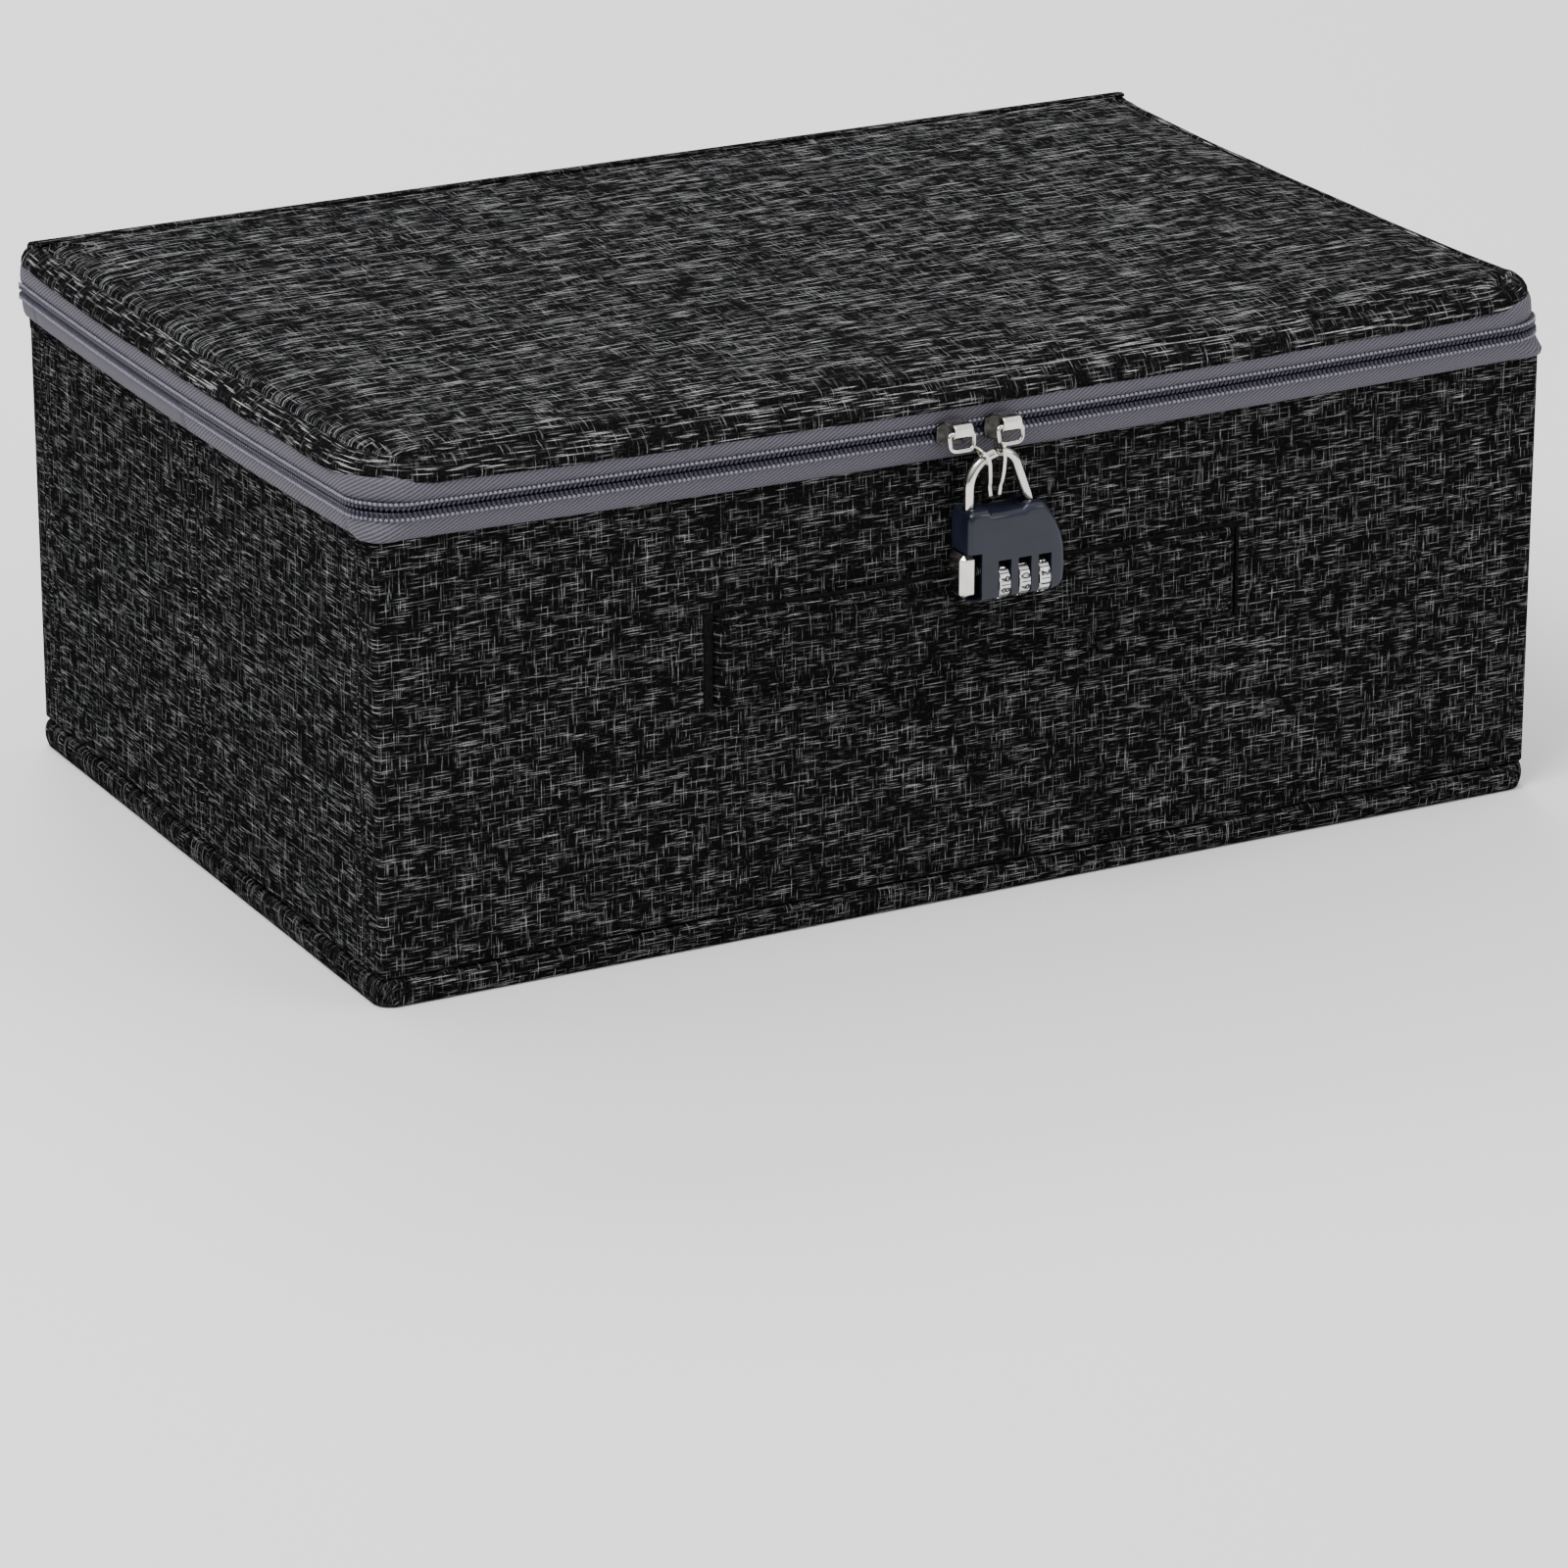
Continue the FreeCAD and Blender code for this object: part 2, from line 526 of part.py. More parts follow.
def latch_box(lock, play):
    """The latch plate between the button bay and the left socket."""
    s = size
    leg_x = lock["x"] - s["left_leg"]
    low = button_middle(lock) + s["button_tall"] / 2 + s["button_play"] + s["latch_foot"]
    high = lock["top"] - s["leg_depth"] - s["latch_head"]
    return Part.makeBox(s["latch_wide"] + 2 * play, s["latch_deep"] + 2 * play, high - low,
                        FreeCAD.Vector(leg_x - s["latch_wide"] / 2 - play,
                                       lock["y"] - s["latch_deep"] / 2 - play, low))


def case_halves(lock):
    """Front and back of the case, hollowed alike."""
    s, y = size, lock["y"]
    half = s["case_thick"] / 2
    nodes = []
    for name, low, high, rim in (("lock_case_front", y - half, y, y - half),
                                 ("lock_case_back", y, y + half, y + half)):
        solid = case_body(lock, low, high, rim)
        for tool in case_room(lock):
            solid = solid.cut(tool)
        nodes.append(shaped(name, solid.removeSplitter()))
    return nodes


def dials(lock):
    """Three number wheels on one spindle."""
    s, v = size, FreeCAD.Vector
    nodes = []
    for n, x in enumerate(dial_places(lock), start=1):
        low = v(x - s["dial_width"] / 2, lock["dial_y"], lock["dial_z"])
        wheel = Part.makeCylinder(s["dial_radius"], s["dial_width"], low, v(1, 0, 0))
        bore = Part.makeCylinder(s["spindle_radius"] + s["spindle_play"], s["dial_width"], low, v(1, 0, 0))
        nodes.append(shaped(f"dial_{n}", wheel.cut(bore)))
    low = dial_places(lock)[0] - s["dial_pitch"] / 2
    length = 3 * s["dial_pitch"]
    nodes.append(shaped("dial_spindle", Part.makeCylinder(
        s["spindle_radius"], length, v(low, lock["dial_y"], lock["dial_z"]), v(1, 0, 0))))
    return nodes


def small_parts(lock):
    """Button, its spring, the latch plate and the shackle's pivot pin."""
    s, v = size, FreeCAD.Vector
    button = button_box(lock, 0, 0)
    outer = [e for e in button.Edges
             if all(abs(p.Point.x - button.BoundBox.XMin) < 1e-6 for p in e.Vertexes)]
    button = button.makeFillet(s["button_round"], outer)
    pitch = s["spring_length"] / s["spring_turns"]
    start = button.BoundBox.XMax
    share = s["coiled_share"]
    helix = Part.makeHelix(pitch * share, s["spring_length"] * share, s["spring_radius"])
    ring = Part.Wire(Part.makeCircle(s["spring_wire"], v(s["spring_radius"], 0, 0), v(0, 1, 0)))
    coil = Part.Wire(helix).makePipeShell([ring], True, True)
    coil.Placement = FreeCAD.Placement(
        v(start + s["spring_wire"] + s["spring_inset"], lock["y"], button_middle(lock)), TURN["x"])
    pin = Part.makeCylinder(s["pin_radius"], 2 * (s["case_thick"] / 2 - s["case_wall"]),
                            v(lock["pivot_x"], lock["y"] - s["case_thick"] / 2 + s["case_wall"],
                              lock["pivot_z"]), v(0, 1, 0))
    return [shaped("lock_button", button), shaped("button_spring", coil),
            shaped("lock_latch", latch_box(lock, 0)), shaped("shackle_pin", pin)]


def padlock():
    """The whole lock, hung on the pulls."""
    lock = lock_frame()
    return [shackle(lock)] + case_halves(lock) + dials(lock) + small_parts(lock)


def make_nodes():
    """Every sub-part, in assembly order."""
    nodes = base_tray() + long_wall("back", 1) + back_zip() + hinge_strip()
    for name, side_x, side_y in (("left_rear", -1, 1), ("left_front", -1, -1),
                                 ("right_rear", 1, 1), ("right_front", 1, -1)):
        nodes += side_half(name, side_x, side_y)
    nodes += long_wall("front", -1) + front_zip() + handle() + lid()
    nodes += [slider("slider_left", "-"), slider("slider_right", "+"),
              pull("pull_left", "-"), pull("pull_right", "+")]
    return nodes + padlock()


nodes = make_nodes()
doc.recompute()

for item in doc.Objects:
    if "Invalid" in item.State or "Error" in item.State:
        raise RuntimeError(f"{item.Label} did not build: {item.State}")
for node in nodes:
    node.Label = node.Name
    if node.Shape.isNull() or not node.Shape.isValid():
        raise RuntimeError(f"{node.Name} has no valid shape")
    if not node.Shape.Solids:
        raise RuntimeError(f"{node.Name} has no solid")
for node in nodes:
    node.Shape.exportStep(f"parts/{node.Name}.step")
print(len(nodes), "nodes")
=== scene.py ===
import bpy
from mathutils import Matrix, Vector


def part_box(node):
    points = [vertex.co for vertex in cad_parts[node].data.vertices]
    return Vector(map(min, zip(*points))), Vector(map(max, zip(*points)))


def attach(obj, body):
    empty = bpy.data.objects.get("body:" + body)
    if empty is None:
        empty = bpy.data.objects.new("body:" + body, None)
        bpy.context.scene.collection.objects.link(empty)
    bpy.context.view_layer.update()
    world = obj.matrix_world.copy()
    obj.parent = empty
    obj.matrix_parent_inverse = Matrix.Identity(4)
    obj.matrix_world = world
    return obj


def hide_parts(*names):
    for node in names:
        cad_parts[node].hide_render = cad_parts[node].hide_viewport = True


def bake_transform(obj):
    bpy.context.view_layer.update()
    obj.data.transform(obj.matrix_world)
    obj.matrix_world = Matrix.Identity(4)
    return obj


bl_info = {
    "name": "Fabric Document Box",
    "version": (1, 0, 0),
    "blender": (4, 5, 0),
    "location": "View3D > Sidebar > Document Box",
    "description": "Builds the cloth, zip, handle and padlock finish of a collapsible document box",
    "category": "Add Mesh",
}

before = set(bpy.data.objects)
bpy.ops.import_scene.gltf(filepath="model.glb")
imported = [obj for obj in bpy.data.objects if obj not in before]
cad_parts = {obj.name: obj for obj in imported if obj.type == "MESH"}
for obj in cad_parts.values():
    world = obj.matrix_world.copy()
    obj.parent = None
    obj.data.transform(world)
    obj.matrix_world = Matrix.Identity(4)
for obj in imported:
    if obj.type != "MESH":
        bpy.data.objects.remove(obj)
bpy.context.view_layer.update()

import math

import bmesh
import bpy
from bpy.props import FloatProperty, FloatVectorProperty, PointerProperty
from mathutils import Matrix, Vector, noise

MM = 0.001


# ------------------------------------------------------------------ places read from the frame
def span(node, axis):
    """Low and high of a CAD node along an axis, in metres."""
    low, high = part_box(node)
    return low[axis], high[axis]


HALF_X = span("front_cover", 0)[1]
HALF_Y = -span("front_cover", 1)[0]
RETURN_Y = -span("front_cover", 1)[1]
WALL_LOW, WALL_HIGH = span("front_cover", 2)
TRAY_HIGH = span("base_cover", 2)[1]
TRAY_OUT = span("base_cover", 0)[1] - HALF_X
SPLIT = (span("front_lower_coil", 2)[1] + span("upper_coil", 2)[0]) / 2
LID_FOOT, LID_TOP = span("lid_cover", 2)
LID_X = span("lid_cover", 0)[1]
LID_FRONT, LID_BACK = span("lid_cover", 1)
ZIP_END = span("upper_tape", 1)[1]
WALL_THICK = HALF_X + span("left_front_lining", 0)[1]
LINING_THICK = span("left_front_lining", 0)[1] - span("left_front_lining", 0)[0]
HALVES = {"left_rear": (-1, 1), "left_front": (-1, -1), "right_rear": (1, 1), "right_front": (1, -1)}


# ------------------------------------------------------------------ sizes and colours
def length(name, text, default, low=0.0, high=1.0):
    """A length property in metres."""
    return FloatProperty(name=name, description=text, default=default, min=low, max=high,
                         subtype="DISTANCE", unit="LENGTH", precision=5)


def colour(name, text, default):
    """A linear colour property."""
    return FloatVectorProperty(name=name, description=text, default=default, size=3, min=0, max=1,
                               subtype="COLOR")


def factor(name, text, default, low=0.0, high=1.0):
    """A plain number property."""
    return FloatProperty(name=name, description=text, default=default, min=low, max=high)


class DocumentBoxCloth(bpy.types.PropertyGroup):
    """Sizes and colours of the covers, lining and handle"""
    thread: length("Thread pitch", "Distance from one thread to the next", 0.33 * MM)
    dark: colour("Dark yarn", "Colour of the dark yarn", (0.0026, 0.0026, 0.0030))
    light: colour("Light yarn", "Colour of the pale yarn flecks", (0.55, 0.55, 0.56))
    lining: colour("Lining", "Colour of the coated lining", (0.34, 0.35, 0.36))
    felt: colour("Felt", "Colour of the felt pads", (0.42, 0.41, 0.38))
    board: colour("Board", "Colour of the stiff boards", (0.012, 0.012, 0.013))
    crown: length("Panel crown", "How far a wall's middle stands proud", 0.9 * MM)
    wrinkle: length("Wrinkle", "Height of the soft unevenness", 0.35 * MM)
    hem_round: length("Hem rounding", "Rounding of a folded cloth edge", 0.9 * MM)


class DocumentBoxZip(bpy.types.PropertyGroup):
    """Sizes and colours of the zip"""
    tape: colour("Tape", "Colour of the woven tape", (0.105, 0.099, 0.122))
    coil: colour("Coil", "Colour of the nylon coil", (0.014, 0.013, 0.026))
    stitch: colour("Stitch", "Colour of the sewing thread", (0.135, 0.130, 0.165))
    pitch: length("Tooth pitch", "Distance from one turn of the coil to the next", 1.55 * MM)
    tooth: length("Tooth size", "Radius of a coil turn along the zip", 0.62 * MM)
    bow: length("Bow", "How far the zip dips between its corners", 2.1 * MM)
    lip_bow: length("Lip bow", "How far the lid's lip dips between its corners", 3.4 * MM)


class DocumentBoxMetal(bpy.types.PropertyGroup):
    """Finishes of the sliders and the padlock"""
    nickel: colour("Nickel", "Colour of the polished nickel", (0.80, 0.77, 0.72))
    paint: colour("Lock paint", "Colour of the lock's paint", (0.0048, 0.0062, 0.0150))
    dial: colour("Dial", "Colour of the number wheels", (0.80, 0.80, 0.80))
    ink: colour("Numerals", "Colour of the numerals", (0.008, 0.008, 0.009))
    numeral: length("Numeral height", "Height of a numeral on a dial", 2.5 * MM)


class DocumentBoxStage(bpy.types.PropertyGroup):
    """Camera, light and floor"""
    camera: FloatVectorProperty(name="Camera", description="Where the camera stands", size=3,
                                default=(-0.9662, -1.8263, 0.7609), subtype="TRANSLATION", unit="LENGTH")
    heading: factor("Heading", "Degrees from +Y towards +X that the camera looks", 27.94, -180, 180)
    tilt: factor("Tilt", "Degrees that the camera looks down", 20.38, -90, 90)
    lens: factor("Lens", "Focal length in millimetres", 157.1, 10, 500)
    floor: colour("Floor", "Colour of the floor", (0.90, 0.90, 0.90))
    key: factor("Key light", "Power of the main light in watts", 46, 0, 500)


GROUPS = {"cloth": DocumentBoxCloth, "zipper": DocumentBoxZip, "metal": DocumentBoxMetal,
          "stage": DocumentBoxStage}


class DocumentBoxSettings(bpy.types.PropertyGroup):
    """Everything a user would change"""
    cloth: PointerProperty(type=DocumentBoxCloth)
    zipper: PointerProperty(type=DocumentBoxZip)
    metal: PointerProperty(type=DocumentBoxMetal)
    stage: PointerProperty(type=DocumentBoxStage)


def settings():
    """The add-on's settings on the scene."""
    return bpy.context.scene.document_box


# ------------------------------------------------------------------ node helpers
class Tree:
    """A short way to add and link shader nodes."""

    def __init__(self, tree):
        self.tree = tree

    def add(self, kind, **values):
        node = self.tree.nodes.new(kind)
        for key, value in values.items():
            if hasattr(node, key):
                setattr(node, key, value)
            else:
                node.inputs[key.replace("_", " ")].default_value = value
        return node

    def link(self, out, into):
        self.tree.links.new(out, into)

    def math(self, operation, a, b=None, c=None, clamp=False):
        node = self.tree.nodes.new("ShaderNodeMath")
        node.operation, node.use_clamp = operation, clamp
        for slot, value in enumerate((a, b, c)):
            if value is None:
                continue
            if isinstance(value, (int, float)):
                node.inputs[slot].default_value = value
            else:
                self.link(value, node.inputs[slot])
        return node.outputs[0]

    def scaled(self, vector, scale, rotation=(0, 0, 0), shift=(0, 0, 0)):
        node = self.add("ShaderNodeMapping")
        node.inputs["Scale"].default_value = scale
        node.inputs["Rotation"].default_value = rotation
        node.inputs["Location"].default_value = shift
        self.link(vector, node.inputs["Vector"])
        return node.outputs[0]

    def noise(self, vector, scale=1.0, detail=2.0, rough=0.5):
        node = self.add("ShaderNodeTexNoise")
        node.inputs["Scale"].default_value = scale
        node.inputs["Detail"].default_value = detail
        node.inputs["Roughness"].default_value = rough
        self.link(vector, node.inputs["Vector"])
        return node.outputs["Fac"]

    def ramp(self, value, low, high, a=0.0, b=1.0):
        node = self.add("ShaderNodeMapRange", interpolation_type="SMOOTHSTEP")
        for slot, number in zip(("From Min", "From Max", "To Min", "To Max"), (low, high, a, b)):
            node.inputs[slot].default_value = number
        self.link(value, node.inputs["Value"])
        return node.outputs["Result"]

    def mix(self, amount, a, b):
        node = self.add("ShaderNodeMix", data_type="RGBA")
        for socket, value in zip((node.inputs[0], node.inputs[6], node.inputs[7]), (amount, a, b)):
            if isinstance(value, (int, float)):
                socket.default_value = value
            elif isinstance(value, (tuple, list)):
                socket.default_value = (*value, 1)
            else:
                self.link(value, socket)
        return node.outputs[2]

    def bump(self, height, distance, strength=1.0):
        node = self.add("ShaderNodeBump")
        node.inputs["Strength"].default_value = strength
        node.inputs["Distance"].default_value = distance
        self.link(height, node.inputs["Height"])
        return node.outputs["Normal"]


def new_material(name):
    """A node material and its tree, shader and coordinate nodes."""
    material = bpy.data.materials.new(name)
    material.use_nodes = True
    tree = Tree(material.node_tree)
    shader = material.node_tree.nodes["Principled BSDF"]
    return material, tree, shader


def set_shader(shader, **values):
    """Plain numbers on the shader's own sockets."""
    for key, value in values.items():
        socket = shader.inputs[key.replace("_", " ")]
        socket.default_value = (*value, 1) if isinstance(value, tuple) and len(value) == 3 else value


def uv_vector(tree):
    """The piece's own cloth map, in metres."""
    return tree.add("ShaderNodeUVMap", uv_map="cloth").outputs["UV"]


def object_vector(tree):
    """Object coordinates, in metres."""
    return tree.add("ShaderNodeTexCoord").outputs["Object"]


def slubs(tree, uv, run, rows, shift, low, high):
    """Pale stretches of single yarns: noise along one direction, a new one for every yarn."""
    split = tree.add("ShaderNodeSeparateXYZ")
    tree.link(uv, split.inputs[0])
    along, across = split.outputs[run[0]], split.outputs[1 - run[0]]
    row = tree.math("FLOOR", tree.math("MULTIPLY", across, rows))
    place = tree.add("ShaderNodeCombineXYZ")
    tree.link(tree.math("MULTIPLY", along, rows * run[1]), place.inputs[0])
    tree.link(tree.math("MULTIPLY_ADD", row, 5.37, shift), place.inputs[1])
    value = tree.ramp(tree.noise(place.outputs[0], 1, 1.5, 0.6), low, high)
    round_yarn = tree.math("SINE", tree.math("MULTIPLY", tree.math("FRACT", tree.math(
        "MULTIPLY", across, rows)), math.pi))
    return value, round_yarn


def heather(name, pale, along, across, pitch):
    """Charcoal linen-look cloth: dark yarn with pale slubs that run along and across the cloth.
    pale, along and across are strengths; pitch is the yarn spacing along V and along U."""
    cloth = settings().cloth
    material, tree, shader = new_material(name)
    uv = uv_vector(tree)
    weft, weft_round = slubs(tree, uv, (0, 0.032), 1 / (cloth.thread * pitch[0]), 3.1, 0.53, 0.74)
    warp, warp_round = slubs(tree, uv, (1, 0.036), 1 / (cloth.thread * pitch[1]), 71.7, 0.56, 0.78)
    clouds = tree.ramp(tree.noise(tree.scaled(uv, (30, 150, 1)), 1, 4.0, 0.62), 0.30, 0.70, 0.45, 1.15)
    bands = tree.ramp(tree.noise(tree.scaled(uv, (160, 30, 1), shift=(5, 9, 0)), 1, 3.0, 0.6),
                      0.32, 0.68, 0.4, 1.1)
    weft = tree.math("MULTIPLY", tree.math("MULTIPLY", weft, along), clouds)
    warp = tree.math("MULTIPLY", tree.math("MULTIPLY", warp, across), bands)
    grain = tree.ramp(tree.noise(uv, 1500, 2.0, 0.7), 0.35, 0.75, 0.0, 1.0)
    ridges = tree.math("ADD", tree.math("MULTIPLY", weft, weft_round),
                       tree.math("MULTIPLY", warp, warp_round))
    amount = tree.math("MULTIPLY", ridges, tree.math("MULTIPLY_ADD", grain, 0.75, 0.5))
    amount = tree.math("MULTIPLY", tree.math("MULTIPLY_ADD", grain, 0.014, amount), pale, clamp=True)
    tree.link(tree.mix(amount, tuple(cloth.dark), tuple(cloth.light)), shader.inputs["Base Color"])
    height = tree.math("ADD", tree.math("MULTIPLY", weft_round, 0.5), tree.math("MULTIPLY", warp_round, 0.35))
    height = tree.math("ADD", height, tree.math("MULTIPLY", ridges, 0.5))
    tree.link(tree.bump(height, 0.2 * MM, 0.7), shader.inputs["Normal"])
    tree.link(tree.ramp(amount, 0.0, 1.0, 0.85, 0.65), shader.inputs["Roughness"])
    set_shader(shader, Specular_IOR_Level=0.0)
    return material


def weave_height(tree, uv, per):
    """Height of a plain weave: sines across each other."""
    split = tree.add("ShaderNodeSeparateXYZ")
    tree.link(tree.scaled(uv, (per * math.pi, per * math.pi, 1)), split.inputs[0])
    across = tree.math("SINE", split.outputs[0])
    along = tree.math("SINE", split.outputs[1])
    return tree.math("MULTIPLY", across, along)


def twill(name, base, fleck):
    """Woven zip tape with a slanted rib."""
    material, tree, shader = new_material(name)
    uv = uv_vector(tree)
    wave = tree.add("ShaderNodeTexWave", wave_type="BANDS", bands_direction="X")
    wave.inputs["Scale"].default_value = 1.0
    wave.inputs["Distortion"].default_value = 0.4
    wave.inputs["Detail"].default_value = 1.0
    tree.link(tree.scaled(uv, (300, 300, 1), rotation=(0, 0, math.radians(58))), wave.inputs["Vector"])
    grain = tree.noise(uv, 1800, 2.0, 0.6)
    tone = tree.math("ADD", tree.math("MULTIPLY", wave.outputs["Fac"], 0.5),
                     tree.math("MULTIPLY", grain, 0.6), clamp=True)
    dark = tuple(c * 0.42 for c in base)
    tree.link(tree.mix(tree.ramp(tone, 0.2, 0.8), dark, fleck), shader.inputs["Base Color"])
    tree.link(tree.bump(tone, 0.16 * MM, 0.8), shader.inputs["Normal"])
    tree.link(tree.ramp(grain, 0.3, 0.7, 0.62, 0.78), shader.inputs["Roughness"])
    set_shader(shader, Specular_IOR_Level=0.2)
    return material


def nylon(name, base, rough, shine=0.5):
    """Smooth plastic with faint unevenness, for the coil and the sewing thread."""
    material, tree, shader = new_material(name)
    place = object_vector(tree)
    tone = tree.noise(place, 900, 3.0, 0.6)
    bright = tuple(min(1, c * 1.8 + 0.004) for c in base)
    tree.link(tree.mix(tree.ramp(tone, 0.3, 0.75), base, bright), shader.inputs["Base Color"])
    tree.link(tree.bump(tone, 0.05 * MM, 0.5), shader.inputs["Normal"])
    tree.link(tree.ramp(tone, 0.3, 0.7, rough, rough + 0.15), shader.inputs["Roughness"])
    set_shader(shader, Specular_IOR_Level=shine)
    return material


def polished(name, base, rough):
    """Plated metal with faint polishing marks and dulled patches."""
    material, tree, shader = new_material(name)
    place = object_vector(tree)
    marks = tree.noise(tree.scaled(place, (900, 900, 120)), 1, 3.0, 0.6)
    patches = tree.noise(place, 160, 2.0, 0.5)
    tree.link(tree.mix(tree.ramp(patches, 0.35, 0.7), base, tuple(c * 0.86 for c in base)),
              shader.inputs["Base Color"])
    tree.link(tree.ramp(marks, 0.3, 0.75, rough, rough + 0.14), shader.inputs["Roughness"])
    tree.link(tree.bump(marks, 0.01 * MM, 0.35), shader.inputs["Normal"])
    set_shader(shader, Metallic=1.0)
    return material


def painted(name, base, rough):
    """Satin paint on die-cast metal, slightly worn to a duller tone."""
    material, tree, shader = new_material(name)
    place = object_vector(tree)
    flake = tree.noise(place, 2600, 2.0, 0.7)
    cloud = tree.noise(place, 120, 3.0, 0.5)
    tone = tree.math("ADD", tree.math("MULTIPLY", flake, 0.35), tree.math("MULTIPLY", cloud, 0.65))
    bright = tuple(c * 1.5 + 0.002 for c in base)
    tree.link(tree.mix(tree.ramp(tone, 0.35, 0.65), base, bright), shader.inputs["Base Color"])
    tree.link(tree.ramp(cloud, 0.3, 0.7, rough, rough + 0.1), shader.inputs["Roughness"])
    tree.link(tree.bump(flake, 0.008 * MM, 0.4), shader.inputs["Normal"])
    set_shader(shader, Specular_IOR_Level=0.35, Coat_Weight=0.18, Coat_Roughness=0.16)
    return material


def coated_cloth(name, base):
    """Matt silver-grey coated glass cloth with a fine square weave."""
    material, tree, shader = new_material(name)
    uv = uv_vector(tree)
    wave = weave_height(tree, uv, 1 / (1.1 * MM))
    cloud = tree.noise(uv, 40, 4.0, 0.6)
    tone = tree.math("ADD", tree.ramp(wave, -1, 1, 0, 0.5), tree.math("MULTIPLY", cloud, 0.5))
    dark = tuple(c * 0.72 for c in base)
    tree.link(tree.mix(tone, dark, base), shader.inputs["Base Color"])
    tree.link(tree.bump(wave, 0.12 * MM, 0.7), shader.inputs["Normal"])
    tree.link(tree.ramp(cloud, 0.3, 0.7, 0.38, 0.55), shader.inputs["Roughness"])
    set_shader(shader, Metallic=0.35)
    return material


def fibrous(name, base, scale):
    """Felt or fibreboard: short fibres over a flat colour."""
    material, tree, shader = new_material(name)
    place = object_vector(tree)
    fibre = tree.noise(tree.scaled(place, (scale, scale * 0.3, scale)), 1, 5.0, 0.65)
    dark = tuple(c * 0.6 for c in base)
    tree.link(tree.mix(tree.ramp(fibre, 0.3, 0.7), dark, base), shader.inputs["Base Color"])
    tree.link(tree.bump(fibre, 0.2 * MM, 0.6), shader.inputs["Normal"])
    set_shader(shader, Roughness=0.9, Specular_IOR_Level=0.15)
    return material


def ink(name, base):
    """Matt enamel filled into the numerals."""
    material, tree, shader = new_material(name)
    tone = tree.noise(object_vector(tree), 3000, 2.0, 0.6)
    tree.link(tree.mix(tree.ramp(tone, 0.3, 0.7), base, tuple(c * 2.5 for c in base)),
              shader.inputs["Base Color"])
    set_shader(shader, Roughness=0.45)
    return material


def floor_paper(name, base):
    """Pale seamless paper."""
    material, tree, shader = new_material(name)
    tone = tree.noise(object_vector(tree), 3, 2.0, 0.5)
    tree.link(tree.mix(tree.ramp(tone, 0.3, 0.7, 0, 0.1), base, tuple(c * 0.96 for c in base)),
              shader.inputs["Base Color"])
    set_shader(shader, Roughness=0.7, Specular_IOR_Level=0.2)
    return material


FINISHES = {}


def make_finishes():
    """Every material of the box, by name."""
    s = settings()
    cloth, zipper, metal = s.cloth, s.zipper, s.metal
    FINISHES.update({
        # The walls' pale flecks (0.95) are set weaker than the lid's (1.35) so the walls read darker than the
        # top: painted shade on the walls and painted light on the top.
        "wall_cloth": heather("wall_cloth", 0.95, 0.95, 0.90, (0.85, 0.85)),
        "lid_cloth": heather("lid_cloth", 1.35, 1.0, 0.55, (1.15, 0.9)),
        "strap_cloth": heather("strap_cloth", 0.85, 0.9, 0.8, (0.85, 0.85)),
        "tape_cloth": twill("tape_cloth", tuple(zipper.tape), tuple(c * 1.25 for c in zipper.tape)),
        "coil_nylon": nylon("coil_nylon", tuple(zipper.coil), 0.28),
        "sewing_thread": nylon("sewing_thread", tuple(zipper.stitch), 0.55),
        "dark_thread": nylon("dark_thread", tuple(c * 0.9 for c in cloth.dark), 0.8, 0.05),
        "nickel": polished("nickel", tuple(metal.nickel), 0.10),
        # A darkened copy of the nickel for the sliders' bodies: painted shade.
        "painted_shade_nickel": polished("painted_shade_nickel", tuple(c * 0.09 for c in metal.nickel), 0.25),
        "plain_steel": polished("plain_steel_finish", (0.5, 0.5, 0.5), 0.3),
        "dial_metal": polished("dial_metal_finish", tuple(metal.dial), 0.22),
        "lock_paint": painted("lock_paint_finish", tuple(metal.paint), 0.32),
        "numeral_ink": ink("numeral_ink", tuple(metal.ink)),
        "lining": coated_cloth("lining_finish", tuple(cloth.lining)),
        "felt": fibrous("felt_finish", tuple(cloth.felt), 700),
        "board": fibrous("board_finish", tuple(cloth.board), 1500),
        "floor": floor_paper("floor_paper", tuple(s.stage.floor)),
    })


# ------------------------------------------------------------------ mesh helpers
def add_object(name, mesh, finish, smooth=True):
    """Link a mesh as a new object with one finish."""
    if smooth:
        mesh.shade_smooth()
    mesh.materials.clear()
    mesh.materials.append(FINISHES[finish])
    obj = bpy.data.objects.new(name, mesh)
    bpy.context.scene.collection.objects.link(obj)
    return obj


def settle(obj, body, slot, *nodes):
    """Put a finished piece on its body, and say which CAD nodes and finish it stands for."""
    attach(obj, body)
    if nodes:
        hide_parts(*nodes)
    return obj


def apply_modifiers(obj):
    """Turn an object with modifiers into a plain mesh."""
    depsgraph = bpy.context.evaluated_depsgraph_get()
    mesh = bpy.data.meshes.new_from_object(obj.evaluated_get(depsgraph))
    old = obj.data
    obj.modifiers.clear()
    obj.data = mesh
    if isinstance(old, bpy.types.Mesh):
        bpy.data.meshes.remove(old)
    return obj


def mesh_from(name, verts, faces, uvs=None):
    """A mesh from plain lists; uvs holds one pair for each corner of each face."""
    mesh = bpy.data.meshes.new(name)
    mesh.from_pydata(verts, [], faces)
    if uvs:
        layer = mesh.uv_layers.new(name="cloth")
        flat = [value for pair in uvs for value in pair]
        layer.data.foreach_set("uv", flat)
    mesh.validate()
    mesh.update()
    return mesh


def outward(mesh):
    """Turn every face outwards on a closed mesh."""
    work = bmesh.new()
    work.from_mesh(mesh)
    bmesh.ops.recalc_face_normals(work, faces=work.faces)
    work.to_mesh(mesh)
    work.free()
    return mesh


def straight(a, b, normal, step=4 * MM):
    """Points from a to b, each with the outward normal."""
    a, b = Vector(a), Vector(b)
    count = max(1, round((b - a).length / step))
    return [(a.lerp(b, i / count), Vector(normal)) for i in range(count + 1)]


